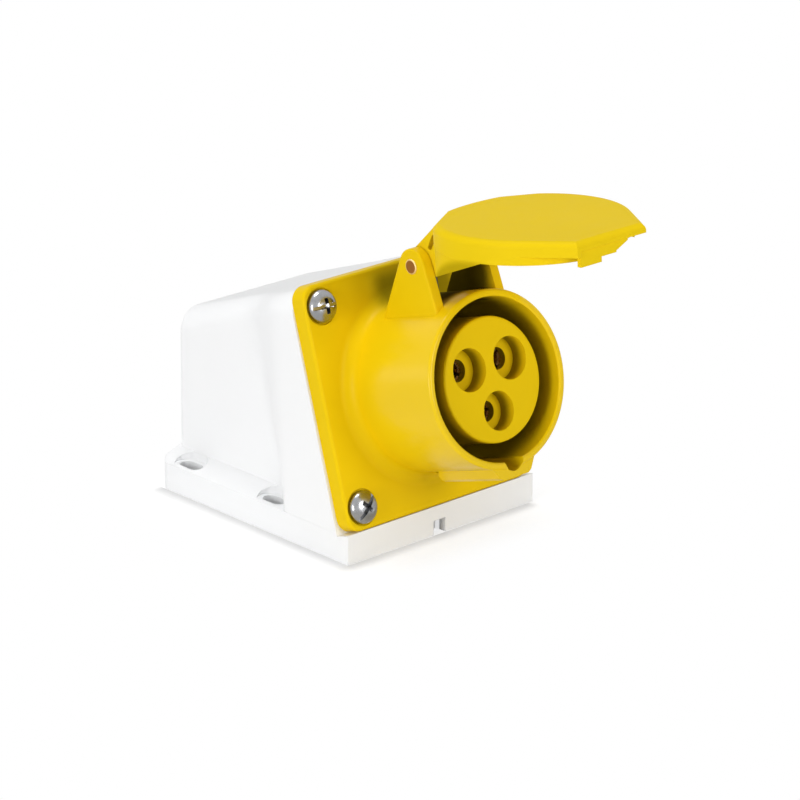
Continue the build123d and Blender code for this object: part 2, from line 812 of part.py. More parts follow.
def above_neck():
    """Space over the neck's sloping back. The lid's edge is cut to it in a slight arch."""
    half = neck_half_width()
    radius = (half ** 2 + neck_edge_arch ** 2) / (2 * neck_edge_arch)
    middle = hinge_up - neck_shelf + neck_edge_arch - radius
    depth = lid_face - neck_touch()[1]
    cone = Pos(0, middle, lid_face - depth / 2) * Cone(radius + neck_slope() * depth, radius, depth)
    return Pos(0, lid_diameter, lid_face - depth / 2) * Box(2 * lid_diameter, 2 * lid_diameter, depth) - cone


def skirt_corner():
    """Part of the skirt that follows the lid's outline to the left corner of the tab."""
    low = skirt_end + skirt_corner_lift
    shape = extrude(Pos(0, 0, low) * lid_outline(), amount=lid_face - tab_thickness - low)
    left = Box(lid_diameter, lid_diameter, lid_diameter)
    return shape & Pos(-apron_left - lid_diameter / 2, -lid_diameter / 2, low) * left


def neck_hollow():
    """Room inside the neck for the spring, open towards the barrel and below."""
    half = neck_half_width() - neck_wall
    knuckle = Pos(hinge_up, hinge_out) * Circle(spring_room())
    roof = Line((hinge_up - neck_shelf + 1, lid_under), (hinge_up - 2 * neck_face, lid_under))
    low = hinge_out - 3 * neck_radius
    foot = Line((hinge_up - 2 * neck_face, low), (hinge_up, low))
    return upright(make_hull(knuckle.edges() + roof.edges() + foot.edges()), half)


def lid_wrap():
    """Skirt that reaches further down beside the ears, with a slanting lower edge."""
    low = hinge_out - wrap_drop
    shell = rod(barrel_diameter + 2 * (lid_skirt_gap + wrap_thickness), low, lid_under)
    keep = Polygon((hinge_up, lid_under), (hinge_up - wrap_end, lid_under), (hinge_up - wrap_end, skirt_end),
                   (hinge_up - wrap_heel, low), (hinge_up, low), align=None)
    over_ears = ear_base_front + ear_top_gap
    between = Pos(0, hinge_up, over_ears / 2) * Box(2 * wrap_start, 2 * hinge_up, over_ears)
    return (shell & upright(keep, lid_diameter)) - between


def neck_slots():
    """Narrow slots through the neck's cheeks, beside the ears."""
    start = Vector(*neck_slot_start)
    end = Vector(*neck_slot_end)
    middle = (start + end) / 2
    length = (end - start).length
    lean = math.degrees(math.atan2(end.Y - start.Y, start.X - end.X))
    slot = Rot(0, 0, lean) * SlotOverall(length, neck_slot_width)
    return upright(Pos(hinge_up - middle.X, hinge_out + middle.Y) * slot, lid_diameter)


def lid_apron():
    """Wall under the tab's free edge, with a stepped and sloping lower edge."""
    section = Polygon((-apron_left, lid_under), (-apron_left, lid_face - apron_drop),
                      (-apron_step, lid_face - apron_drop), (-apron_step, lid_face - apron_middle_drop),
                      (apron_centre, lid_face - apron_middle_drop),
                      (apron_centre, lid_face - apron_slope_drop),
                      (apron_right, lid_face - apron_right_drop), (apron_right, lid_under), align=None)
    front = hinge_up - tab_reach + apron_inset
    return Pos(0, front + apron_thickness, 0) * extrude(Plane.XZ * section, amount=apron_thickness)


def skirt_cut():
    """Room under the skirt's free end for the keyway's rib."""
    low = skirt_end - 1
    high = lid_face - skirt_cut_drop
    width = skirt_cut_left + skirt_cut_right
    reach = hinge_up - tab_reach + apron_inset + apron_thickness
    room = Box(width, lid_diameter / 2, high - low)
    return Pos((skirt_cut_right - skirt_cut_left) / 2, reach + lid_diameter / 4, (low + high) / 2) * room


def make_lid():
    top = extrude(Pos(0, 0, lid_face - tab_thickness) * lid_outline(), amount=tab_thickness)
    top = fillet(top.faces().sort_by(Axis.Z)[-1].edges(), lid_edge_radius)
    skirt = rod(lid_diameter, skirt_end, lid_face - tab_thickness) + skirt_corner() - skirt_cut()
    lid = (top + skirt) - above_neck() + neck_blank(neck_half_width()) + lid_wrap()
    for space in beyond_corners():
        lid = lid - space
    lid = lid + lid_apron()
    inside = rod(barrel_diameter + 2 * lid_skirt_gap, -barrel_length, lid_under)
    lid = lid - inside - neck_hollow() - neck_slots() + retaining_ring()
    bore = Rot(0, 90, 0) * Cylinder(pin_diameter / 2 + hinge_clearance, lid_diameter)
    return open_lid(lid - Pos(0, hinge_up, hinge_out) * bore)


def retaining_ring():
    """Low ring inside the lid that holds the gasket."""
    outer = gasket_ring_inner
    ring = rod(outer, lid_under - retainer_depth, lid_under + lid_top / 2)
    return ring - rod(outer - 2 * retainer_thickness, lid_under - 2 * retainer_depth, lid_under)


def make_lid_gasket():
    ring = rod(gasket_ring_outer, gasket_ring_face, lid_under) - rod(gasket_ring_inner, 0, 2 * lid_under)
    return open_lid(ring)


def make_hinge_pin():
    length = ear_outer_width + 2 * pin_proud
    pin = Cylinder(pin_diameter / 2, length)
    pin = fillet(pin.edges().filter_by(GeomType.CIRCLE), pin_proud)
    return on_flange(Pos(0, hinge_up, hinge_out) * Rot(0, 90, 0) * pin)


def roof_slope():
    """Angle of the neck's sloping roof from the shut lid's face, in degrees."""
    run = neck_shelf - 1
    rise = lid_height - lid_top
    return math.degrees(math.atan2(rise, run) + math.acos(spring_room() / math.hypot(run, rise))) - 90


def spring_room():
    """Radius of the space round the pin that the spring's coil turns in."""
    return spring_inner / 2 + spring_wire + spring_gap


def make_lid_spring():
    """Torsion spring on the hinge pin, one leg on the barrel and one under the neck's roof."""
    radius = (spring_inner + spring_wire) / 2
    turns = spring_turns + (180 - roof_slope() - lid_open_angle) / 360
    height = turns * spring_pitch
    start = Plane(origin=(-height / 2, hinge_up, hinge_out), x_dir=(0, 0, -1), z_dir=(1, 0, 0))
    coil = start.location * Helix(spring_pitch, height, radius)
    first, last = coil @ 0, coil @ 1
    lower = Line(first - (coil % 0) * (hinge_up - barrel_diameter / 2 - spring_gap), first)
    upper = Line(last, last + (coil % 1) * spring_leg)
    path = Wire([lower.edge(), coil.edge(), upper.edge()])
    section = Plane(path @ 0, z_dir=path % 0) * Circle(spring_wire / 2)
    return on_flange(sweep(section, path=path))


def make_gland_body():
    body = gland_bar(gland_thread, -gland_inside_length, gland_washer_thickness)
    body = body + gland_hexagon(gland_flange_across, gland_washer_thickness,
                                gland_washer_thickness + gland_flange_length)
    seat = gland_washer_thickness + gland_flange_length
    body = body + gland_bar(gland_thread - 2 * gland_thread_depth, seat, seat + gland_neck_length)
    return body - gland_bar(gland_bore, -gland_inside_length - 1, seat + gland_neck_length + 1)


def make_gland_washer():
    washer = gland_bar(gland_washer_diameter, 0, gland_washer_thickness)
    return washer - gland_bar(gland_thread, -1, gland_washer_thickness + 1)


def gland_neck_end():
    return gland_washer_thickness + gland_flange_length + gland_neck_length


def make_gland_seal():
    end = gland_neck_end()
    seal = gland_bar(gland_bore, end - gland_seal_length, end)
    return seal - gland_bar(gland_seal_bore, -1, end + 1)


def make_gland_cap():
    start = gland_washer_thickness + gland_flange_length + gland_cap_gap
    end = start + gland_cap_length
    cap = gland_hexagon(gland_cap_across, start, end)
    trim = gland_bar(gland_cap_across * gland_cap_corner_share, start, end)
    trim = fillet(trim.faces().sort_by(Axis.Y)[-1].edges(), gland_cap_edge_radius)
    cap = cap & trim
    cap = cap - gland_bar(gland_thread - 2 * gland_thread_depth, start - 1, gland_neck_end())
    return cap - gland_bar(gland_cap_opening, start, end + 1)


def make_gland_locknut():
    nut = gland_hexagon(locknut_across, -box_wall - locknut_thickness, -box_wall)
    return nut - gland_bar(gland_thread, -box_wall - 2 * locknut_thickness, 0)


def save(name, shape):
    solids = shape.solids()
    export_step(solids[0] if len(solids) == 1 else Compound(children=list(solids)), f"parts/{name}.step")


def main():
    os.makedirs("parts", exist_ok=True)
    save("back_box", make_back_box())
    save("flange_gasket", make_flange_gasket())
    save("socket_housing", make_socket_housing())
    save("contact_insert", make_contact_insert())
    save("contact_carrier", make_contact_carrier())
    for name, (angle, _, _) in contact_places.items():
        save(name, make_contact(angle))
    save("contact_rings", make_spring_rings())
    save("terminal_screws", make_terminal_screws())
    save("carrier_screws", make_carrier_screws())
    save("flange_screws", make_flange_screws())
    save("flange_nuts", make_flange_nuts())
    save("lid", make_lid())
    save("lid_gasket", make_lid_gasket())
    save("hinge_pin", make_hinge_pin())
    save("lid_spring", make_lid_spring())
    save("gland_body", make_gland_body())
    save("gland_washer", make_gland_washer())
    save("gland_seal", make_gland_seal())
    save("gland_cap", make_gland_cap())
    save("gland_locknut", make_gland_locknut())


main()
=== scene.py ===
import json
import math
from collections import namedtuple

import bmesh
import bpy
from bpy.props import FloatProperty, FloatVectorProperty, IntProperty, PointerProperty
from mathutils import Matrix, Vector


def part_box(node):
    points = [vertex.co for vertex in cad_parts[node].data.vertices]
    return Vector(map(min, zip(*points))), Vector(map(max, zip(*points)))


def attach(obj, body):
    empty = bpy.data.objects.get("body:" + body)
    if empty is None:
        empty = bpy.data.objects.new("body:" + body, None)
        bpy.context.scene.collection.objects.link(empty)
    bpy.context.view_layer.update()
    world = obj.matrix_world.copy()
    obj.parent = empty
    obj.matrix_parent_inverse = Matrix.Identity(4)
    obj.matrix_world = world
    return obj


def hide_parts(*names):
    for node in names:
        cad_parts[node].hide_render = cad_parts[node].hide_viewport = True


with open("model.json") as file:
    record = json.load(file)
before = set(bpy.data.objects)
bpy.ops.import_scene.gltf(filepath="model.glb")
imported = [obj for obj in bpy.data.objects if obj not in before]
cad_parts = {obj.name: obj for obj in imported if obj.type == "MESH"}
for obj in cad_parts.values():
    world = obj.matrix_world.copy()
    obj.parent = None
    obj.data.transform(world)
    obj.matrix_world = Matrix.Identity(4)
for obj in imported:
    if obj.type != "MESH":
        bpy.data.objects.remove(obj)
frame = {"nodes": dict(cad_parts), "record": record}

bl_info = {
    "name": "Surface Socket Dresser",
    "version": (1, 0, 0),
    "blender": (4, 5, 0),
    "location": "3D View > Sidebar > Socket",
    "description": "Gives a surface-mounted industrial socket its finishes, fine pieces and studio",
    "category": "Object",
}

NODES = frame["nodes"]
MOUTH = next(m for m in frame["record"]["mounts"] if m["name"] == "plug_mouth")
PLATE_OUT = Vector(MOUTH["axis"]).normalized()
PLATE_ACROSS = Vector((1.0, 0.0, 0.0))
PLATE_UP = PLATE_OUT.cross(PLATE_ACROSS).normalized()

# Distance from the plate's face to the collar's mouth.
COLLAR_REACH = 0.03415

# The lid spring's coil stays inside this radius round the pin, and its legs leave it.
SPRING_RADIUS = 0.00355
SPRING_WIRE = 0.0009

# A round painted shade that runs along X, standing in for the shade between and under the parts. It is full
# inside its core and gone at its radius. DULL_TOP has the same shape but only takes the barrel's clear gloss
# away, and paints no shade.
Shade = namedtuple("Shade", "up out core radius half_width side_fade across", defaults=(0.0,))
SHADE_BETWEEN_EARS = Shade(up=0.0285, out=0.0165, core=0.008, radius=0.0145, half_width=0.0102, side_fade=0.0001)
SHADE_BEHIND_EARS = Shade(up=0.0275, out=-0.001, core=0.003, radius=0.0095, half_width=0.0135, side_fade=0.0085)
SHADE_RIGHT_OF_EAR = Shade(up=0.0265, out=0.0, core=0.003, radius=0.0090, half_width=0.0125, side_fade=0.007,
                  across=0.012)
SHADE_LID_EDGE = Shade(up=0.010, out=0.057, core=0.0265, radius=0.0290, half_width=0.03, side_fade=0.0001)
SHADE_UNDER_NECK = Shade(up=0.0315, out=0.0425, core=0.003, radius=0.005, half_width=0.0145, side_fade=0.0001)
DULL_TOP = Shade(up=0.0285, out=0.0175, core=0.018, radius=0.021, half_width=0.0145, side_fade=0.001)

# Painted shade on the walls inside a round recess about the collar's axis, darker from one depth below the
# mouth to another.
Recess = namedtuple("Recess", "radius start end")
COLLAR_WALL_SHADE = Recess(radius=0.0235, start=0.0004, end=0.012)
CONTACT_HOLE_SHADE = Recess(radius=0.03, start=0.0026, end=0.0065)

# Lamps all point at one place. Each takes its power from the stage property of that name.
Lamp = namedtuple("Lamp", "name place size power")
LAMP_AIM = (0.0, -0.02, 0.05)
LAMPS = (
    Lamp(name="key_lamp", place=(-0.95, -0.2, 0.24), size=0.4, power="key"),
    Lamp(name="front_lamp", place=(0.1, -1.0, 0.4), size=0.45, power="front"),
    Lamp(name="top_lamp", place=(0.0, 0.2, 1.0), size=0.45, power="top"),
    Lamp(name="back_lamp", place=(-0.72, 0.7, 0.12), size=0.3, power="back"),
)

# The camera that was fitted to the photograph.
CAMERA_PLACE = (-0.704073, -0.788286, 0.416475)
CAMERA_VIEW = (0.636112, 0.690582, -0.344176)
CAMERA_LENS = 174.42
CAMERA_SENSOR = 36.0
CAMERA_NEAR = 0.05
CAMERA_FAR = 30.0

# The floor lies this far under the foot, so that the two never share a plane.
FLOOR_DROP = 0.00002

# Edges that turn by more degrees than this stay sharp.
SHARP_ANGLE = 32

# The hinge pin's painted rim highlight comes in between these shares of its radius.
RIM_START = 0.76
RIM_END = 0.9

# Degrees that each plate screw stands turned, by its side and its end of the plate.
SCREW_TURNS = {("left", "upper"): 0, ("left", "lower"): 43, ("right", "upper"): 71, ("right", "lower"): 18}

# The screw's head and recess as shares of their own sizes.
HEAD_CHAMFER = 0.06
CROWN_POWER = 0.82
CROWN_STEPS = 14
WING_FOOT_LENGTH = 0.45
WING_FOOT_WIDTH = 0.55
WING_RISE = 0.2
WING_TOP_LENGTH = 1.05
SLOT_OVERHANG = 2.4

# The thread's facets round the shank, its rings along one turn, and how thin its point gets.
THREAD_SIDES = 36
THREAD_RINGS = 14
THREAD_POINT = 0.8

# Places of the colour sockets on Blender's Mix node, whose names are not unique.
MIX_MASK, MIX_FIRST, MIX_SECOND, MIX_RESULT = 0, 6, 7, 2


def plate_point(up, out, across=0.0):
    """Point above the collar's axis, out from the plate, and across from the socket's middle plane."""
    return (Vector(MOUTH["pos_m"]) + PLATE_UP * up + PLATE_OUT * (out - COLLAR_REACH)
            + PLATE_ACROSS * across)


def colour_prop(name, description, default):
    return FloatVectorProperty(name=name, description=description, default=default, subtype="COLOR",
                               size=3, min=0.0, max=1.0)


def length_prop(name, description, default):
    return FloatProperty(name=name, description=description, default=default, min=0.0,
                         unit="LENGTH", subtype="DISTANCE", precision=5)


def share_prop(name, description, default):
    return FloatProperty(name=name, description=description, default=default, min=0.0, max=1.0)


def power_prop(name, description, default):
    return FloatProperty(name=name, description=description, default=default, min=0.0, unit="POWER")


class SocketColours(bpy.types.PropertyGroup):
    """Colours of the mouldings, the soft parts and the metals, and of the shades and the highlight painted
    on them.
    """

    box: colour_prop("Back box", "White of the back box", (0.90, 0.905, 0.91))
    housing: colour_prop("Housing", "Yellow of the plate and the barrel", (0.82, 0.56, 0.003))
    insert: colour_prop("Contact insert", "Yellow of the contact insert", (0.80, 0.545, 0.003))
    lid: colour_prop("Lid", "Yellow of the lid", (0.82, 0.58, 0.008))
    # Painted shade on the walls deep in the collar and the contact holes.
    recess: colour_prop("Recess walls", "Yellow of the walls deep in the collar and the contact holes",
                        (0.30, 0.215, 0.002))
    # Painted shade between the hinge ears, where the lid and the ears keep the light off.
    nook: colour_prop("Nook", "Shaded yellow between the hinge ears", (0.10, 0.075, 0.001))
    # Painted shade on the plate behind the ears, in place of the ears' shadow.
    ear_shade: colour_prop("Ear shade", "Shaded yellow of the plate behind the ears", (0.27, 0.198, 0.002))
    carrier: colour_prop("Carrier", "Grey of the contact carrier", (0.10, 0.10, 0.105))
    gland: colour_prop("Gland", "Off-white of the cable gland", (0.80, 0.80, 0.79))
    rubber: colour_prop("Rubber", "Black of the seals", (0.022, 0.022, 0.023))
    brass: colour_prop("Brass", "Contact sleeves and threaded inserts", (0.78, 0.56, 0.25))
    pin: colour_prop("Hinge pin", "Copper brown of the hinge pin", (0.36, 0.15, 0.035))
    zinc: colour_prop("Zinc", "Bright plating of the small screws", (0.75, 0.76, 0.78))
    bright: colour_prop("Bright plating", "Bright plating of the plate screws", (0.34, 0.345, 0.355))
    # Painted highlight on the rim of the hinge pin's ends.
    pin_rim_highlight: colour_prop("Pin rim", "Bright rim of the hinge pin's ends", (0.85, 0.62, 0.28))
    spring: colour_prop("Spring steel", "Rings round the contact sleeves", (0.55, 0.55, 0.57))
    lid_spring: colour_prop("Lid spring", "Dark oiled wire of the lid's spring", (0.12, 0.105, 0.07))
    # Painted shade along the lid's lower edge near the hinge.
    skirt_shade: colour_prop("Skirt shade", "Yellow of the lid's lower edge", (0.50, 0.35, 0.004))


class SocketSkin(bpy.types.PropertyGroup):
    """Fine texture of the moulded surfaces."""

    grain_pitch: length_prop("Grain pitch", "Distance between the grains of the moulded skin", 0.00045)
    grain_depth: length_prop("Grain depth", "Height of the grains of the moulded skin", 0.000012)
    flow_pitch: length_prop("Flow pitch", "Size of the faint flow marks", 0.006)
    tone_pitch: length_prop("Tone pitch", "Size of the soft changes of tone", 0.035)
    edge_radius: length_prop("Edge radius", "Roundness seen on the moulded edges", 0.00028)
    barrel_gloss: share_prop("Barrel gloss", "Weight of the clear gloss on the barrel", 0.4)
    barrel_haze: share_prop("Barrel haze", "Roughness of the clear gloss on the barrel", 0.22)
    gloss_start: length_prop("Gloss start", "Height over the plate where the barrel's gloss begins", 0.004)
    gloss_rise: length_prop("Gloss rise", "Height over which the barrel's gloss comes in", 0.004)


class SocketScrew(bpy.types.PropertyGroup):
    """Slotted cross-head screws that hold the plate."""

    head_radius: length_prop("Head radius", "Radius of the pan head", 0.00475)
    head_height: length_prop("Head height", "Height of the pan head", 0.0034)
    skirt_height: length_prop("Skirt height", "Height of the head's straight rim", 0.0009)
    slot_width: length_prop("Slot width", "Width of the driver slot", 0.00105)
    slot_depth: length_prop("Slot depth", "Depth of the driver slot below the crown", 0.00135)
    cross_reach: length_prop("Cross reach", "Half length of the cross recess", 0.0025)
    cross_width: length_prop("Cross width", "Width of the cross recess at the top", 0.0014)
    cross_depth: length_prop("Cross depth", "Depth of the cross recess", 0.0021)
    thread_radius: length_prop("Thread radius", "Outer radius of the thread", 0.0025)
    thread_depth: length_prop("Thread depth", "Depth of the thread", 0.00042)
    thread_pitch: length_prop("Thread pitch", "Distance between the thread's turns", 0.0008)
    shank_length: length_prop("Shank length", "Length below the head", 0.015)
    sides: IntProperty(name="Sides", description="Facets round the head", default=72, min=12, max=256)


class SocketStage(bpy.types.PropertyGroup):
    """Floor, lamps and sky."""

    floor_size: length_prop("Floor size", "Width of the floor", 8.0)
    shadow_reach: length_prop("Shadow reach", "Distance from the foot at which the floor is plain white",
                              0.022)
    floor_tone: share_prop("Floor tone", "Grey level of the floor", 0.86)
    floor_lift: share_prop("Floor lift", "Part of the floor's tone kept from the camera", 0.5)
    floor_glow: share_prop("Floor glow", "Light that the floor shows the camera instead", 0.7)
    speck_tone: share_prop("Speck tone", "Change of the floor's tone between its specks", 0.02)
    speck_pitch: length_prop("Speck pitch", "Distance between the floor's specks", 1 / 90)
    # The dark line round the foot is a painted contact shadow on the floor.
    contact_shadow_reach: length_prop("Contact reach", "Width of the dark line round the foot", 0.006)
    contact_shadow_gap: length_prop("Contact gap", "Width over which the dark line comes in at the foot", 0.0003)
    contact_shadow_end: length_prop("Contact end", "Length over which the dark line fades at far corners", 0.003)
    contact_shadow_tone: share_prop("Contact tone", "Depth of the dark line round the foot", 0.32)
    sky: share_prop("Sky", "Strength of the soft light from all round", 0.30)
    key: power_prop("Key lamp", "Power of the big lamp on the left", 4.15)
    front: power_prop("Front lamp", "Power of the lamp in front", 3.9)
    top: power_prop("Top lamp", "Power of the lamp above", 4.6)
    back: power_prop("Back lamp", "Power of the lamp behind on the left", 0.4)


# Shader groups


def new_group(name, inputs, outputs):
    """Empty shader group with the named sockets."""
    group = bpy.data.node_groups.new(name, "ShaderNodeTree")
    for label, kind, value in inputs:
        made = group.interface.new_socket(name=label, in_out="INPUT", socket_type=kind)
        if value is not None:
            made.default_value = value
    for label, kind in outputs:
        group.interface.new_socket(name=label, in_out="OUTPUT", socket_type=kind)
    source = group.nodes.new("NodeGroupInput")
    target = group.nodes.new("NodeGroupOutput")
    return group, source, target


def feed(tree, socket, value):
    """Set a socket to a number, or link it to another socket."""
    if isinstance(value, (int, float)):
        socket.default_value = value
    else:
        tree.links.new(value, socket)


def math_node(tree, operation, first, second):
    node = tree.nodes.new("ShaderNodeMath")
    node.operation = operation
    for index, value in enumerate((first, second)):
        feed(tree, node.inputs[index], value)
    return node.outputs[0]


def vector_node(group, operation, first, second):
    """Vector maths on one or two sockets. Gives the number for a product or a length."""
    node = group.nodes.new("ShaderNodeVectorMath")
    node.operation = operation
    group.links.new(first, node.inputs[0])
    if second is not None:
        group.links.new(second, node.inputs[1])
    return node.outputs["Value" if operation in ("DOT_PRODUCT", "LENGTH") else "Vector"]


def noise_node(group, place, pitch, detail, roughness=0.5):
    """Noise whose features are about one pitch apart, from a length socket or number."""
    node = group.nodes.new("ShaderNodeTexNoise")
    node.inputs["Detail"].default_value = detail
    node.inputs["Roughness"].default_value = roughness
    group.links.new(place, node.inputs["Vector"])
    group.links.new(math_node(group, "DIVIDE", 1.0, pitch), node.inputs["Scale"])
    return node.outputs["Fac"]


def centred(group, value, amount):
    """Noise value turned into a change about zero."""
    return math_node(group, "MULTIPLY", math_node(group, "SUBTRACT", value, 0.5), amount)


def toned(group, colour, change):
    """Colour made lighter or darker by a change about zero."""
    node = group.nodes.new("ShaderNodeHueSaturation")
    group.links.new(colour, node.inputs["Color"])
    group.links.new(math_node(group, "ADD", change, 1.0), node.inputs["Value"])
    return node.outputs["Color"]


def ramp(tree, value, low, high, start=0.0, end=1.0):
    """Smooth change from start to end as a value goes from low to high."""
    node = tree.nodes.new("ShaderNodeMapRange")
    node.interpolation_type = "SMOOTHSTEP"
    for label, part in (("Value", value), ("From Min", low), ("From Max", high), ("To Min", start),
                        ("To Max", end)):
        feed(tree, node.inputs[label], part)
    return node.outputs["Result"]


def mixed(tree, mask, first, second):
    """First colour where the mask is 0, second where it is 1."""
    node = tree.nodes.new("ShaderNodeMix")
    node.data_type = "RGBA"
    for index, socket in ((MIX_MASK, mask), (MIX_FIRST, first), (MIX_SECOND, second)):
        tree.links.new(socket, node.inputs[index])
    return node.outputs[MIX_RESULT]


def object_place(group):
    return group.nodes.new("ShaderNodeTexCoord").outputs["Object"]


def moulded_skin_group():
    """Moulded plastic: soft tone changes, faint flow marks, a fine grain and a painted highlight along its
    rounded edges.
    """
    group, source, target = new_group(
        "moulded_skin",
        [("Colour", "NodeSocketColor", (0.8, 0.8, 0.8, 1.0)), ("Tone", "NodeSocketFloat", 0.06),
         ("Gloss", "NodeSocketFloat", 0.4), ("Gloss Change", "NodeSocketFloat", 0.12),
         ("Grain Pitch", "NodeSocketFloat", 0.00045), ("Flow Pitch", "NodeSocketFloat", 0.006),
         ("Tone Pitch", "NodeSocketFloat", 0.035), ("Edge", "NodeSocketFloat", 0.0)],
        [("Colour", "NodeSocketColor"), ("Roughness", "NodeSocketFloat"), ("Height", "NodeSocketFloat")])
    place = object_place(group)
    tone = noise_node(group, place, source.outputs["Tone Pitch"], 2.0)
    flow = noise_node(group, place, source.outputs["Flow Pitch"], 4.0, 0.6)
    grain = noise_node(group, place, source.outputs["Grain Pitch"], 2.0, 0.65)
    change = centred(group, tone, source.outputs["Tone"])
    flow_tone = math_node(group, "MULTIPLY", source.outputs["Tone"], 0.5)
    change = math_node(group, "ADD", change, centred(group, flow, flow_tone))
    # Painted highlight: the colour is made lighter along the rounded edges.
    change = math_node(group, "ADD", change, math_node(group, "MULTIPLY", source.outputs["Edge"], 0.05))
    group.links.new(toned(group, source.outputs["Colour"], change), target.inputs["Colour"])
    shine = source.outputs["Gloss"]
    for pattern in (flow, grain):
        shine = math_node(group, "ADD", shine, centred(group, pattern, source.outputs["Gloss Change"]))
    shine = math_node(group, "SUBTRACT", shine, math_node(group, "MULTIPLY", source.outputs["Edge"], 0.08))
    group.links.new(shine, target.inputs["Roughness"])
    height = math_node(group, "ADD", grain, math_node(group, "MULTIPLY", flow, 1.5))
    group.links.new(height, target.inputs["Height"])
    return group


def soft_edge_group():
    """Rounded look of moulded edges, and a mask that is 1 along them."""
    group, source, target = new_group(
        "soft_edge", [("Radius", "NodeSocketFloat", 0.0003)],
        [("Normal", "NodeSocketVector"), ("Edge", "NodeSocketFloat")])
    bevel = group.nodes.new("ShaderNodeBevel")
    bevel.samples = 6
    group.links.new(source.outputs["Radius"], bevel.inputs["Radius"])
    plain = group.nodes.new("ShaderNodeNewGeometry")
    same = vector_node(group, "DOT_PRODUCT", bevel.outputs["Normal"], plain.outputs["Normal"])
    turned = math_node(group, "SUBTRACT", 1.0, same)
    mask = math_node(group, "MINIMUM", math_node(group, "MULTIPLY", turned, 6.0), 1.0)
    group.links.new(bevel.outputs["Normal"], target.inputs["Normal"])
    group.links.new(mask, target.inputs["Edge"])
    return group


def worked_metal_group():
    """Drawn or turned metal: fine marks along one way, dull patches and small tone changes."""
    group, source, target = new_group(
        "worked_metal",
        [("Colour", "NodeSocketColor", (0.7, 0.7, 0.7, 1.0)), ("Tone", "NodeSocketFloat", 0.15),
         ("Gloss", "NodeSocketFloat", 0.22), ("Gloss Change", "NodeSocketFloat", 0.15),
         ("Mark Pitch", "NodeSocketFloat", 0.0002), ("Patch Pitch", "NodeSocketFloat", 0.003)],
        [("Colour", "NodeSocketColor"), ("Roughness", "NodeSocketFloat"), ("Height", "NodeSocketFloat")])
    place = object_place(group)
    stretch = group.nodes.new("ShaderNodeVectorMath")
    stretch.operation = "MULTIPLY"
    stretch.inputs[1].default_value = (1.0, 0.12, 1.0)
    group.links.new(place, stretch.inputs[0])
    marks = noise_node(group, stretch.outputs["Vector"], source.outputs["Mark Pitch"], 2.0)
    patches = noise_node(group, place, source.outputs["Patch Pitch"], 4.0, 0.6)
    change = math_node(group, "ADD", centred(group, patches, source.outputs["Tone"]),
                       centred(group, marks, math_node(group, "MULTIPLY", source.outputs["Tone"], 0.4)))
    group.links.new(toned(group, source.outputs["Colour"], change), target.inputs["Colour"])
    dull = centred(group, patches, source.outputs["Gloss Change"])
    group.links.new(math_node(group, "ADD", source.outputs["Gloss"], dull), target.inputs["Roughness"])
    group.links.new(math_node(group, "ADD", marks, math_node(group, "MULTIPLY", patches, 0.6)),
                    target.inputs["Height"])
    return group


def rubber_skin_group():
    """Matt rubber with a dusty bloom and a fine pebble."""
    group, source, target = new_group(
        "rubber_skin",
        [("Colour", "NodeSocketColor", (0.02, 0.02, 0.02, 1.0)), ("Bloom", "NodeSocketFloat", 0.5),
         ("Pebble Pitch", "NodeSocketFloat", 0.0006), ("Bloom Pitch", "NodeSocketFloat", 0.004)],
        [("Colour", "NodeSocketColor"), ("Roughness", "NodeSocketFloat"), ("Height", "NodeSocketFloat")])
    place = object_place(group)
    pebble = noise_node(group, place, source.outputs["Pebble Pitch"], 3.0, 0.6)
    bloom = noise_node(group, place, source.outputs["Bloom Pitch"], 4.0, 0.6)
    group.links.new(toned(group, source.outputs["Colour"], centred(group, bloom, source.outputs["Bloom"])),
                    target.inputs["Colour"])
    group.links.new(math_node(group, "ADD", 0.72, centred(group, bloom, 0.3)), target.inputs["Roughness"])
    group.links.new(pebble, target.inputs["Height"])
    return group


def painted_recess_shade_group():
    """Painted shade: colour that turns darker on the walls of a deep round recess, from its mouth inwards,
    where shade falls.
    """
    group, source, target = new_group(
        "recess_tone",
        [("Colour", "NodeSocketColor", (0.8, 0.8, 0.8, 1.0)),
         ("Depth Colour", "NodeSocketColor", (0.3, 0.3, 0.3, 1.0)),
         ("Mouth", "NodeSocketVector", (0.0, 0.0, 0.0)), ("Axis", "NodeSocketVector", (0.0, 0.0, 1.0)),
         ("Radius", "NodeSocketFloat", 0.02), ("Start", "NodeSocketFloat", 0.001),
         ("End", "NodeSocketFloat", 0.008)],
        [("Colour", "NodeSocketColor")])
    spot = group.nodes.new("ShaderNodeTexCoord")
    apart = vector_node(group, "SUBTRACT", spot.outputs["Object"], source.outputs["Mouth"])
    out = vector_node(group, "DOT_PRODUCT", apart, source.outputs["Axis"])
    along = group.nodes.new("ShaderNodeVectorMath")
    along.operation = "SCALE"
    group.links.new(source.outputs["Axis"], along.inputs[0])
    group.links.new(out, along.inputs["Scale"])
    side = vector_node(group, "LENGTH", vector_node(group, "SUBTRACT", apart, along.outputs["Vector"]), None)
    inside = math_node(group, "LESS_THAN", side, source.outputs["Radius"])
    deep = ramp(group, math_node(group, "MULTIPLY", out, -1.0), source.outputs["Start"],
                source.outputs["End"])
    facing = vector_node(group, "DOT_PRODUCT", spot.outputs["Normal"], source.outputs["Axis"])
    wall = math_node(group, "SUBTRACT", 1.0, math_node(group, "ABSOLUTE", facing, 0.0))
    mask = math_node(group, "MULTIPLY", math_node(group, "MULTIPLY", inside, deep), wall)
    shown = mixed(group, mask, source.outputs["Colour"], source.outputs["Depth Colour"])
    group.links.new(shown, target.inputs["Colour"])
    return group


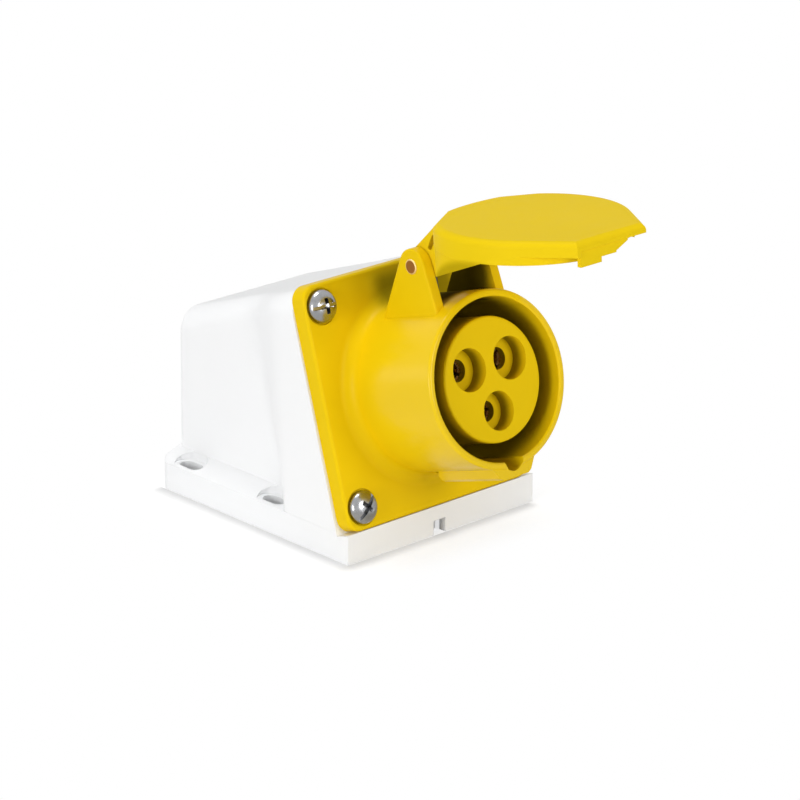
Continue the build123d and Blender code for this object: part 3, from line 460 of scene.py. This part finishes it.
def nook_group():
    """Colour taken towards a second colour inside a round nook that runs along X. It paints the shades
    between and under the parts and the hinge pin's rim highlight, and it masks the barrel's gloss.
    """
    group, source, target = new_group(
        "nook_tone",
        [("Colour", "NodeSocketColor", (0.8, 0.8, 0.8, 1.0)),
         ("Depth Colour", "NodeSocketColor", (0.3, 0.3, 0.3, 1.0)),
         ("Middle", "NodeSocketVector", (0.0, 0.0, 0.0)), ("Half Width", "NodeSocketFloat", 0.01),
         ("Side Fade", "NodeSocketFloat", 0.0001), ("Core", "NodeSocketFloat", 0.004),
         ("Radius", "NodeSocketFloat", 0.012)],
        [("Colour", "NodeSocketColor")])
    apart = vector_node(group, "SUBTRACT", object_place(group), source.outputs["Middle"])
    parts = group.nodes.new("ShaderNodeSeparateXYZ")
    group.links.new(apart, parts.inputs[0])
    across = math_node(group, "ABSOLUTE", parts.outputs["X"], 0.0)
    flat = group.nodes.new("ShaderNodeCombineXYZ")
    group.links.new(parts.outputs["Y"], flat.inputs["Y"])
    group.links.new(parts.outputs["Z"], flat.inputs["Z"])
    away = vector_node(group, "LENGTH", flat.outputs["Vector"], None)
    inside = ramp(group, away, source.outputs["Core"], source.outputs["Radius"], 1.0, 0.0)
    full_width = math_node(group, "SUBTRACT", source.outputs["Half Width"], source.outputs["Side Fade"])
    side = ramp(group, across, full_width, source.outputs["Half Width"], 1.0, 0.0)
    shown = mixed(group, math_node(group, "MULTIPLY", inside, side), source.outputs["Colour"],
                  source.outputs["Depth Colour"])
    group.links.new(shown, target.inputs["Colour"])
    return group


GROUP_MAKERS = {
    "recess_tone": painted_recess_shade_group,
    "nook_tone": nook_group,
    "moulded_skin": moulded_skin_group,
    "soft_edge": soft_edge_group,
    "worked_metal": worked_metal_group,
    "rubber_skin": rubber_skin_group,
}


def shader_group(name):
    """The shared group of that name, built on first use."""
    return bpy.data.node_groups.get(name) or GROUP_MAKERS[name]()


# Materials


def new_material(name):
    material = bpy.data.materials.new(name)
    material.use_nodes = True
    return material, material.node_tree, material.node_tree.nodes["Principled BSDF"]


def place_group(tree, name, values):
    node = tree.nodes.new("ShaderNodeGroup")
    node.node_tree = shader_group(name)
    for label, value in values.items():
        node.inputs[label].default_value = value
    return node


def bump_node(tree, height, distance, strength, base=None):
    node = tree.nodes.new("ShaderNodeBump")
    node.inputs["Distance"].default_value = distance
    node.inputs["Strength"].default_value = strength
    tree.links.new(height, node.inputs["Height"])
    if base is not None:
        tree.links.new(base, node.inputs["Normal"])
    return node.outputs["Normal"]


def shade_values(shade):
    """Inputs of the nook group that place a shade."""
    return {"Middle": plate_point(shade.up, shade.out, shade.across), "Half Width": shade.half_width,
            "Side Fade": shade.side_fade, "Core": shade.core, "Radius": shade.radius}


def shaded(tree, shown, deep, shade):
    """What is shown, colour or roughness, taken towards the deep colour inside a painted shade."""
    node = place_group(tree, "nook_tone", {"Depth Colour": (*deep, 1.0), **shade_values(shade)})
    tree.links.new(shown, node.inputs["Colour"])
    return node.outputs["Colour"]


def moulded_material(name, colour, gloss, tone, specular, recess=None, shades=()):
    """Moulded plastic in one colour, with a colour and a place for its painted recess shade and for each of
    its painted shades.
    """
    skin = bpy.context.scene.socket_skin
    material, tree, shader = new_material(name)
    edge = place_group(tree, "soft_edge", {"Radius": skin.edge_radius})
    surface = place_group(tree, "moulded_skin", {
        "Colour": (*colour, 1.0), "Tone": tone, "Gloss": gloss, "Grain Pitch": skin.grain_pitch,
        "Flow Pitch": skin.flow_pitch, "Tone Pitch": skin.tone_pitch})
    tree.links.new(edge.outputs["Edge"], surface.inputs["Edge"])
    shown = surface.outputs["Colour"]
    rough = surface.outputs["Roughness"]
    # Painted shade on the walls deep in the recess.
    if recess is not None:
        deep, wall = recess
        walls = place_group(tree, "recess_tone", {
            "Depth Colour": (*deep, 1.0), "Mouth": MOUTH["pos_m"], "Axis": PLATE_OUT, "Radius": wall.radius,
            "Start": wall.start, "End": wall.end})
        tree.links.new(shown, walls.inputs["Colour"])
        shown = walls.outputs["Colour"]
    # Painted shades: the colour turns darker and the surface matt inside each shade.
    for deep, shade in shades:
        shown = shaded(tree, shown, deep, shade)
        rough = shaded(tree, rough, (1.0, 1.0, 1.0), shade)
    tree.links.new(shown, shader.inputs["Base Color"])
    tree.links.new(rough, shader.inputs["Roughness"])
    normal = bump_node(tree, surface.outputs["Height"], skin.grain_depth, 0.6, edge.outputs["Normal"])
    tree.links.new(normal, shader.inputs["Normal"])
    shader.inputs["IOR"].default_value = 1.46
    shader.inputs["Specular IOR Level"].default_value = specular
    return material


def polish_barrel(material):
    """Clear gloss on the outer wall of the barrel, which is smoother than the plate."""
    skin = bpy.context.scene.socket_skin
    tree = material.node_tree
    shader = tree.nodes["Principled BSDF"]
    gloss = place_group(tree, "nook_tone", {
        "Colour": (*[skin.barrel_gloss] * 3, 1.0), "Depth Colour": (0.0, 0.0, 0.0, 1.0),
        **shade_values(DULL_TOP)})
    out = vector_node(tree, "DOT_PRODUCT", object_place(tree), constant_vector(tree, PLATE_OUT))
    start = PLATE_OUT.dot(plate_point(0.0, skin.gloss_start))
    off_plate = ramp(tree, out, start, start + skin.gloss_rise)
    tree.links.new(math_node(tree, "MULTIPLY", off_plate, gloss.outputs["Colour"]),
                   shader.inputs["Coat Weight"])
    shader.inputs["Coat Roughness"].default_value = skin.barrel_haze


def constant_vector(tree, value):
    node = tree.nodes.new("ShaderNodeCombineXYZ")
    for index, part in enumerate(value):
        node.inputs[index].default_value = part
    return node.outputs["Vector"]


def metal_material(name, colour, gloss, tone=0.15, marks=0.0002, patches=0.003, depth=0.000006):
    """Worked metal in one colour."""
    material, tree, shader = new_material(name)
    surface = place_group(tree, "worked_metal", {
        "Colour": (*colour, 1.0), "Tone": tone, "Gloss": gloss, "Mark Pitch": marks, "Patch Pitch": patches})
    tree.links.new(surface.outputs["Colour"], shader.inputs["Base Color"])
    tree.links.new(surface.outputs["Roughness"], shader.inputs["Roughness"])
    tree.links.new(bump_node(tree, surface.outputs["Height"], depth, 0.5), shader.inputs["Normal"])
    shader.inputs["Metallic"].default_value = 1.0
    return material


def painted_rim_highlight(material, colour):
    """Painted highlight: lighter rim on the hinge pin, where its end was rounded over and catches the light.
    """
    tree = material.node_tree
    base = tree.nodes["Principled BSDF"].inputs["Base Color"]
    worked = base.links[0].from_socket
    low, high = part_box("hinge_pin")
    radius = (high[2] - low[2]) / 2
    rim = place_group(tree, "nook_tone", {
        "Colour": (*colour, 1.0), "Middle": (low + high) / 2, "Half Width": 0.05, "Core": radius * RIM_START,
        "Radius": radius * RIM_END})
    tree.links.new(worked, rim.inputs["Depth Colour"])
    tree.links.new(rim.outputs["Colour"], base)


def rubber_material(name, colour):
    """Matt black rubber."""
    material, tree, shader = new_material(name)
    surface = place_group(tree, "rubber_skin", {"Colour": (*colour, 1.0)})
    tree.links.new(surface.outputs["Colour"], shader.inputs["Base Color"])
    tree.links.new(surface.outputs["Roughness"], shader.inputs["Roughness"])
    tree.links.new(bump_node(tree, surface.outputs["Height"], 0.00003, 0.5), shader.inputs["Normal"])
    shader.inputs["Specular IOR Level"].default_value = 0.3
    return material


def dress(material, *names):
    """Give CAD nodes a finish."""
    for name in names:
        slots = NODES[name].data.materials
        slots.clear()
        slots.append(material)


# Screws


def turned_mesh(profile, sides):
    """Closed mesh of a profile of radius and height, turned about Z. It starts and ends on the axis."""
    mesh = bmesh.new()
    rings = []
    for radius, height in profile[1:-1]:
        turns = [2 * math.pi * i / sides for i in range(sides)]
        rings.append([mesh.verts.new((radius * math.cos(turn), radius * math.sin(turn), height))
                      for turn in turns])
    first = mesh.verts.new((0, 0, profile[0][1]))
    last = mesh.verts.new((0, 0, profile[-1][1]))
    for i in range(sides):
        j = (i + 1) % sides
        mesh.faces.new((first, rings[0][j], rings[0][i]))
        mesh.faces.new((last, rings[-1][i], rings[-1][j]))
        for low, high in zip(rings, rings[1:]):
            mesh.faces.new((low[i], low[j], high[j], high[i]))
    return mesh


def head_profile(screw):
    """Half section of the pan head from its seat to its crown."""
    radius, height, skirt = screw.head_radius, screw.head_height, screw.skirt_height
    chamfer = HEAD_CHAMFER * radius
    points = [(0, 0), (radius - chamfer, 0), (radius, chamfer), (radius, skirt)]
    for step in range(1, CROWN_STEPS):
        turn = math.pi / 2 * step / CROWN_STEPS
        points.append((radius * math.cos(turn) ** CROWN_POWER, skirt + (height - skirt) * math.sin(turn)))
    points.append((0, height))
    return points


def tapered_wing(half_length, half_width, depth, top):
    """Wing of the cross recess, narrower and shorter at its bottom."""
    mesh = bmesh.new()
    corners = []
    for height, length, width in (
            (top - depth, half_length * WING_FOOT_LENGTH, half_width * WING_FOOT_WIDTH),
            (top + depth * WING_RISE, half_length * WING_TOP_LENGTH, half_width)):
        corners.append([mesh.verts.new((x * length, y * width, height))
                        for x, y in ((-1, -1), (1, -1), (1, 1), (-1, 1))])
    low, high = corners
    mesh.faces.new(reversed(low))
    mesh.faces.new(high)
    for i in range(4):
        j = (i + 1) % 4
        mesh.faces.new((low[i], low[j], high[j], high[i]))
    return mesh


def mesh_object(name, mesh):
    data = bpy.data.meshes.new(name)
    bmesh.ops.recalc_face_normals(mesh, faces=mesh.faces)
    mesh.to_mesh(data)
    mesh.free()
    made = bpy.data.objects.new(name, data)
    bpy.context.scene.collection.objects.link(made)
    return made


def cut_away(target, cutters):
    """Cut each cutter out of the target's mesh, then remove the cutters."""
    for cutter in cutters:
        modifier = target.modifiers.new("cut", "BOOLEAN")
        modifier.operation = "DIFFERENCE"
        modifier.solver = "EXACT"
        modifier.object = cutter
    bpy.context.view_layer.update()
    graph = bpy.context.evaluated_depsgraph_get()
    data = bpy.data.meshes.new_from_object(target.evaluated_get(graph))
    target.modifiers.clear()
    target.data = data
    for cutter in cutters:
        bpy.data.objects.remove(cutter)


def threaded_shank(screw):
    """Shank below the head with a rolled thread, its turns drawn round one helix."""
    mesh = bmesh.new()
    sides = THREAD_SIDES
    steps = THREAD_RINGS * round(screw.shank_length / screw.thread_pitch)
    rings = []
    for step in range(steps + 1):
        height = -screw.shank_length * step / steps
        ring = []
        for side in range(sides):
            phase = (height / screw.thread_pitch + side / sides) % 1.0
            flank = abs(2 * phase - 1)
            fade = min(1.0, (screw.shank_length + height) / screw.thread_pitch)
            radius = screw.thread_radius - screw.thread_depth * flank
            radius *= THREAD_POINT + (1 - THREAD_POINT) * fade
            turn = 2 * math.pi * side / sides
            ring.append(mesh.verts.new((radius * math.cos(turn), radius * math.sin(turn), height)))
        rings.append(ring)
    for high, low in zip(rings, rings[1:]):
        for i in range(sides):
            j = (i + 1) % sides
            mesh.faces.new((high[i], low[i], low[j], high[j]))
    mesh.faces.new(rings[0])
    mesh.faces.new(reversed(rings[-1]))
    return mesh


def smooth_by_angle(target, degrees):
    """Smooth shading that keeps the edges sharper than the angle."""
    data = target.data
    data.shade_smooth()
    data.set_sharp_from_angle(angle=math.radians(degrees))


def screw_places():
    """Side, end and middle of the crown of each plate screw, from the vertices of the CAD node."""
    points = [v.co.copy() for v in NODES["flange_screws"].data.vertices]
    middle = sum(points, Vector()) / len(points)
    places = []
    for side, right in (("left", -1), ("right", 1)):
        for end, higher in (("lower", -1), ("upper", 1)):
            own = [p for p in points if (p - middle).dot(PLATE_ACROSS) * right > 0
                   and (p - middle).dot(PLATE_UP) * higher > 0]
            across = [p.dot(PLATE_ACROSS) for p in own]
            up = [p.dot(PLATE_UP) for p in own]
            out = [p.dot(PLATE_OUT) for p in own]
            crown = (PLATE_ACROSS * (min(across) + max(across)) / 2 + PLATE_UP * (min(up) + max(up)) / 2
                     + PLATE_OUT * max(out))
            places.append((side, end, crown))
    return places


def build_screw(name, turn, crown):
    """One slotted cross-head screw, its crown at the given point."""
    screw = bpy.context.scene.socket_screw
    head = mesh_object(name, turned_mesh(head_profile(screw), screw.sides))
    top = screw.head_height
    cutters = []
    for index, angle in enumerate((0.0, math.pi / 2)):
        wing = tapered_wing(screw.cross_reach, screw.cross_width / 2, screw.cross_depth, top)
        cutter = mesh_object(f"{name}_wing_{index}", wing)
        cutter.rotation_euler = (0, 0, angle)
        cutters.append(cutter)
    slot = bmesh.new()
    size = (SLOT_OVERHANG * screw.head_radius, screw.slot_width, 2 * screw.slot_depth)
    place = Matrix.Translation((0, 0, top)) @ Matrix.Diagonal((*size, 1.0))
    bmesh.ops.create_cube(slot, size=1.0, matrix=place)
    cutters.append(mesh_object(f"{name}_slot", slot))
    cut_away(head, cutters)
    joined = bmesh.new()
    joined.from_mesh(head.data)
    shank = threaded_shank(screw)
    spare = bpy.data.meshes.new("shank")
    shank.to_mesh(spare)
    shank.free()
    joined.from_mesh(spare)
    bmesh.ops.recalc_face_normals(joined, faces=joined.faces)
    joined.to_mesh(head.data)
    joined.free()
    bpy.data.meshes.remove(spare)
    smooth_by_angle(head, SHARP_ANGLE)
    axes = Matrix((PLATE_ACROSS, PLATE_UP, PLATE_OUT)).transposed().to_4x4()
    head.matrix_world = Matrix.Translation(crown - PLATE_OUT * top) @ axes @ Matrix.Rotation(turn, 4, "Z")
    return head


# Lid spring


def spring_parts():
    """The lid's spring cut where its long leg leaves the coil, so that the leg turns with the lid."""
    low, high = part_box("hinge_pin")
    pin = (low + high) / 2
    coil = bmesh.new()
    coil.from_mesh(NODES["lid_spring"].data)
    leg = coil.copy()

    def off_pin(vert):
        return math.hypot(vert.co.y - pin.y, vert.co.z - pin.z)

    tip = max(coil.verts, key=off_pin).co.copy()

    def on_leg(face):
        return any(off_pin(v) > SPRING_RADIUS and abs(v.co.x - tip.x) < SPRING_WIRE for v in face.verts)

    bmesh.ops.delete(coil, geom=[f for f in coil.faces if on_leg(f)], context="FACES")
    bmesh.ops.delete(leg, geom=[f for f in leg.faces if not on_leg(f)], context="FACES")
    return (("spring_coil", coil, "socket"), ("spring_leg", leg, "lid"))


# Operators


class SOCKET_OT_back_box(bpy.types.Operator):
    """Finish the white back box"""

    bl_idname = "socket.back_box"
    bl_label = "Back box"

    def execute(self, context):
        colours = context.scene.socket_colours
        dress(moulded_material("white_moulded_box", colours.box, gloss=0.36, tone=0.02, specular=0.4),
              "back_box")
        return {"FINISHED"}


class SOCKET_OT_housing(bpy.types.Operator):
    """Finish the yellow plate and barrel"""

    bl_idname = "socket.housing"
    bl_label = "Housing"

    def execute(self, context):
        colours = context.scene.socket_colours
        # Painted shades between the hinge ears, and on the plate behind the ears and to the right of them.
        shades = ((colours.nook, SHADE_BETWEEN_EARS), (colours.ear_shade, SHADE_BEHIND_EARS),
                  (colours.ear_shade, SHADE_RIGHT_OF_EAR))
        # Painted shade on the walls deep in the collar.
        material = moulded_material("yellow_moulded_housing", colours.housing, gloss=0.34, tone=0.05,
                                    specular=0.06, recess=(colours.recess, COLLAR_WALL_SHADE), shades=shades)
        polish_barrel(material)
        dress(material, "socket_housing")
        return {"FINISHED"}


class SOCKET_OT_insert(bpy.types.Operator):
    """Finish the contact insert and the carrier behind it"""

    bl_idname = "socket.insert"
    bl_label = "Contact insert"

    def execute(self, context):
        colours = context.scene.socket_colours
        # Painted shade on the walls deep in the contact holes.
        dress(moulded_material("yellow_moulded_insert", colours.insert, gloss=0.45, tone=0.06, specular=0.06,
                               recess=(colours.recess, CONTACT_HOLE_SHADE)), "contact_insert")
        dress(moulded_material("grey_moulded_carrier", colours.carrier, gloss=0.55, tone=0.12, specular=0.3),
              "contact_carrier")
        return {"FINISHED"}


class SOCKET_OT_lid(bpy.types.Operator):
    """Finish the hinged lid"""

    bl_idname = "socket.lid"
    bl_label = "Lid"

    def execute(self, context):
        colours = context.scene.socket_colours
        # Painted shades along the lid's lower edge and under its neck.
        shades = ((colours.skirt_shade, SHADE_LID_EDGE), (colours.nook, SHADE_UNDER_NECK))
        dress(moulded_material("yellow_moulded_lid", colours.lid, gloss=0.42, tone=0.05, specular=0.02,
                               shades=shades), "lid")
        return {"FINISHED"}


class SOCKET_OT_contacts(bpy.types.Operator):
    """Finish the contact sleeves, their rings and clamp screws"""

    bl_idname = "socket.contacts"
    bl_label = "Contacts"

    def execute(self, context):
        colours = context.scene.socket_colours
        dress(metal_material("turned_brass", colours.brass, gloss=0.28, tone=0.2), "left_contact",
              "right_contact", "lower_contact", "flange_nuts")
        dress(metal_material("ring_spring_steel", colours.spring, gloss=0.3, tone=0.15), "contact_rings")
        dress(metal_material("plated_small_screws", colours.zinc, gloss=0.26, tone=0.12), "terminal_screws",
              "carrier_screws")
        return {"FINISHED"}


class SOCKET_OT_hinge_pin(bpy.types.Operator):
    """Finish the hinge pin"""

    bl_idname = "socket.hinge_pin"
    bl_label = "Hinge pin"

    def execute(self, context):
        colours = context.scene.socket_colours
        pin = metal_material("dull_copper_pin", colours.pin, gloss=0.5, tone=0.25, marks=0.00015,
                             patches=0.0012, depth=0.00001)
        painted_rim_highlight(pin, colours.pin_rim_highlight)
        dress(pin, "hinge_pin")
        return {"FINISHED"}


class SOCKET_OT_lid_spring(bpy.types.Operator):
    """Part the lid's spring so that its long leg turns with the lid, and finish it"""

    bl_idname = "socket.lid_spring"
    bl_label = "Lid spring"

    def execute(self, context):
        colours = context.scene.socket_colours
        wire = metal_material("lid_spring_steel", colours.lid_spring, gloss=0.5, tone=0.2)
        dress(wire, "lid_spring")
        for name, mesh, body in spring_parts():
            made = mesh_object(name, mesh)
            made.data.materials.append(wire)
            smooth_by_angle(made, SHARP_ANGLE)
            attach(made, body)
            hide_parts("lid_spring")
        return {"FINISHED"}


class SOCKET_OT_seals(bpy.types.Operator):
    """Finish the gaskets and seals"""

    bl_idname = "socket.seals"
    bl_label = "Seals"

    def execute(self, context):
        dress(rubber_material("black_seal_rubber", context.scene.socket_colours.rubber), "flange_gasket",
              "lid_gasket", "gland_washer", "gland_seal")
        return {"FINISHED"}


class SOCKET_OT_gland(bpy.types.Operator):
    """Finish the cable gland"""

    bl_idname = "socket.gland"
    bl_label = "Cable gland"

    def execute(self, context):
        colours = context.scene.socket_colours
        dress(moulded_material("moulded_gland", colours.gland, gloss=0.45, tone=0.04, specular=0.35),
              "gland_body", "gland_cap", "gland_locknut")
        return {"FINISHED"}


class SOCKET_OT_flange_screws(bpy.types.Operator):
    """Build the four slotted cross-head screws of the plate"""

    bl_idname = "socket.flange_screws"
    bl_label = "Plate screws"

    def execute(self, context):
        bright = metal_material("bright_plated_screw", context.scene.socket_colours.bright, gloss=0.24,
                                tone=0.35, marks=0.00025, patches=0.0016, depth=0.00001)
        for side, end, crown in screw_places():
            made = build_screw(f"{end}_{side}_screw", math.radians(SCREW_TURNS[(side, end)]), crown)
            made.data.materials.append(bright)
            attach(made, "socket")
            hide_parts("flange_screws")
        return {"FINISHED"}


class SOCKET_OT_stage(bpy.types.Operator):
    """Build the pale floor, the soft lamps, the white sky and the camera"""

    bl_idname = "socket.stage"
    bl_label = "Stage"

    def execute(self, context):
        build_floor(context.scene.socket_stage)
        build_sky(context.scene.socket_stage)
        build_lamps(context.scene.socket_stage)
        build_camera()
        context.scene.view_settings.view_transform = "Standard"
        return {"FINISHED"}


# Stage


def build_floor(stage):
    """Pale floor that shows white to the camera where it is lit and keeps the shadow near the foot, with a
    painted contact shadow along the foot's front and left.
    """
    floor = bmesh.new()
    bmesh.ops.create_grid(floor, x_segments=2, y_segments=2, size=stage.floor_size / 2)
    made = mesh_object("floor", floor)
    made.location.z = -FLOOR_DROP
    material, tree, shader = new_material("pale_floor")
    speck = tree.nodes.new("ShaderNodeTexNoise")
    speck.inputs["Scale"].default_value = 1 / stage.speck_pitch
    speck.inputs["Detail"].default_value = 4.0
    path = tree.nodes.new("ShaderNodeLightPath")
    seen = path.outputs["Is Camera Ray"]
    tone = math_node(tree, "SUBTRACT", stage.floor_tone, math_node(tree, "MULTIPLY", seen, stage.floor_lift))
    tone = math_node(tree, "ADD", tone, centred(tree, speck.outputs["Fac"], stage.speck_tone))
    tree.links.new(tone, shader.inputs["Base Color"])
    shader.inputs["Roughness"].default_value = 0.9
    shader.inputs["Specular IOR Level"].default_value = 0.0
    lift = tree.nodes.new("ShaderNodeEmission")
    # Painted contact shadow: the floor shows the camera less light along the foot.
    line = math_node(tree, "MULTIPLY", painted_contact_shadow(tree, stage), stage.contact_shadow_tone)
    glow = math_node(tree, "SUBTRACT", stage.floor_glow, line)
    tree.links.new(math_node(tree, "MULTIPLY", seen, glow), lift.inputs["Strength"])
    both = tree.nodes.new("ShaderNodeAddShader")
    tree.links.new(shader.outputs[0], both.inputs[0])
    tree.links.new(lift.outputs[0], both.inputs[1])
    white = tree.nodes.new("ShaderNodeEmission")
    fade = tree.nodes.new("ShaderNodeMixShader")
    tree.links.new(math_node(tree, "MULTIPLY", off_foot(tree, stage.shadow_reach), seen), fade.inputs["Fac"])
    tree.links.new(both.outputs[0], fade.inputs[1])
    tree.links.new(white.outputs[0], fade.inputs[2])
    tree.links.new(fade.outputs[0], tree.nodes["Material Output"].inputs["Surface"])
    made.data.materials.append(material)


def off_foot(tree, reach):
    """Mask that grows from 0 at the foot of the box to 1 at a distance from it."""
    low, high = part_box("back_box")
    apart = vector_node(tree, "ABSOLUTE", object_place(tree), None)
    beyond = tree.nodes.new("ShaderNodeVectorMath")
    beyond.operation = "SUBTRACT"
    beyond.inputs[1].default_value = ((high[0] - low[0]) / 2, (high[1] - low[1]) / 2, 1.0)
    tree.links.new(apart, beyond.inputs[0])
    outside = vector_node(tree, "MAXIMUM", beyond.outputs["Vector"], None)
    return ramp(tree, vector_node(tree, "LENGTH", outside, None), 0.0, reach)


def painted_contact_shadow(tree, stage):
    """Mask of the painted contact shadow, a dark line on the floor along the front and the left of the foot.
    """
    line = math_node(tree, "SUBTRACT", 1.0, off_foot(tree, stage.contact_shadow_reach))
    line = math_node(tree, "MULTIPLY", line, off_foot(tree, stage.contact_shadow_gap))
    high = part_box("back_box")[1]
    place = tree.nodes.new("ShaderNodeSeparateXYZ")
    tree.links.new(object_place(tree), place.inputs[0])
    for axis, far in (("X", high[0]), ("Y", high[1])):
        before = ramp(tree, place.outputs[axis], far - stage.contact_shadow_end, far, 1.0, 0.0)
        line = math_node(tree, "MULTIPLY", line, before)
    return line


def build_sky(stage):
    """Even soft light, seen as white by the camera and in reflections."""
    world = bpy.data.worlds.new("sky")
    world.use_nodes = True
    tree = world.node_tree
    soft = tree.nodes["Background"]
    soft.inputs["Color"].default_value = (1.0, 1.0, 1.0, 1.0)
    soft.inputs["Strength"].default_value = stage.sky
    white = tree.nodes.new("ShaderNodeBackground")
    white.inputs["Color"].default_value = (1.0, 1.0, 1.0, 1.0)
    white.inputs["Strength"].default_value = 1.0
    path = tree.nodes.new("ShaderNodeLightPath")
    seen = math_node(tree, "MAXIMUM", path.outputs["Is Camera Ray"], path.outputs["Is Glossy Ray"])
    seen = math_node(tree, "MAXIMUM", seen, path.outputs["Is Transmission Ray"])
    mix = tree.nodes.new("ShaderNodeMixShader")
    tree.links.new(seen, mix.inputs["Fac"])
    tree.links.new(soft.outputs[0], mix.inputs[1])
    tree.links.new(white.outputs[0], mix.inputs[2])
    tree.links.new(mix.outputs[0], tree.nodes["World Output"].inputs["Surface"])
    bpy.context.scene.world = world


def place_object(name, data, place, view):
    """New object at a place, its own -Z along the view."""
    made = bpy.data.objects.new(name, data)
    made.location = place
    made.rotation_mode = "QUATERNION"
    made.rotation_quaternion = Vector(view).to_track_quat("-Z", "Y")
    bpy.context.scene.collection.objects.link(made)
    return made


def build_lamps(stage):
    for lamp in LAMPS:
        data = bpy.data.lights.new(lamp.name, "AREA")
        data.shape = "DISK"
        data.size = lamp.size
        data.energy = getattr(stage, lamp.power)
        place_object(lamp.name, data, lamp.place, Vector(LAMP_AIM) - Vector(lamp.place))


def build_camera():
    """Camera at the photograph's angle."""
    data = bpy.data.cameras.new("camera")
    data.sensor_width = CAMERA_SENSOR
    data.lens = CAMERA_LENS
    data.clip_start = CAMERA_NEAR
    data.clip_end = CAMERA_FAR
    bpy.context.scene.camera = place_object("camera", data, CAMERA_PLACE, CAMERA_VIEW)


class SOCKET_PT_panel(bpy.types.Panel):
    """Steps that dress the socket"""

    bl_idname = "SOCKET_PT_panel"
    bl_label = "Socket"
    bl_space_type = "VIEW_3D"
    bl_region_type = "UI"
    bl_category = "Socket"

    def draw(self, context):
        for operator in OPERATORS:
            self.layout.operator(operator.bl_idname)
        for group in (context.scene.socket_colours, context.scene.socket_skin, context.scene.socket_screw,
                      context.scene.socket_stage):
            box = self.layout.box()
            for name in group.__annotations__:
                box.prop(group, name)


OPERATORS = (SOCKET_OT_back_box, SOCKET_OT_housing, SOCKET_OT_insert, SOCKET_OT_lid, SOCKET_OT_contacts,
             SOCKET_OT_hinge_pin, SOCKET_OT_lid_spring, SOCKET_OT_seals, SOCKET_OT_gland,
             SOCKET_OT_flange_screws, SOCKET_OT_stage)
PROPERTIES = {"socket_colours": SocketColours, "socket_skin": SocketSkin, "socket_screw": SocketScrew,
              "socket_stage": SocketStage}


def register():
    for group in PROPERTIES.values():
        bpy.utils.register_class(group)
    for operator in OPERATORS:
        bpy.utils.register_class(operator)
    bpy.utils.register_class(SOCKET_PT_panel)
    for name, group in PROPERTIES.items():
        setattr(bpy.types.Scene, name, PointerProperty(type=group))


def unregister():
    for name in PROPERTIES:
        delattr(bpy.types.Scene, name)
    bpy.utils.unregister_class(SOCKET_PT_panel)
    for operator in reversed(OPERATORS):
        bpy.utils.unregister_class(operator)
    for group in reversed(list(PROPERTIES.values())):
        bpy.utils.unregister_class(group)


def main():
    register()
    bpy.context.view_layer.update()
    bpy.ops.socket.back_box()
    bpy.ops.socket.housing()
    bpy.ops.socket.insert()
    bpy.ops.socket.lid()
    bpy.ops.socket.contacts()
    bpy.ops.socket.hinge_pin()
    bpy.ops.socket.lid_spring()
    bpy.ops.socket.seals()
    bpy.ops.socket.gland()
    bpy.ops.socket.flange_screws()
    bpy.ops.socket.stage()


if __name__ == "__main__":
    main()
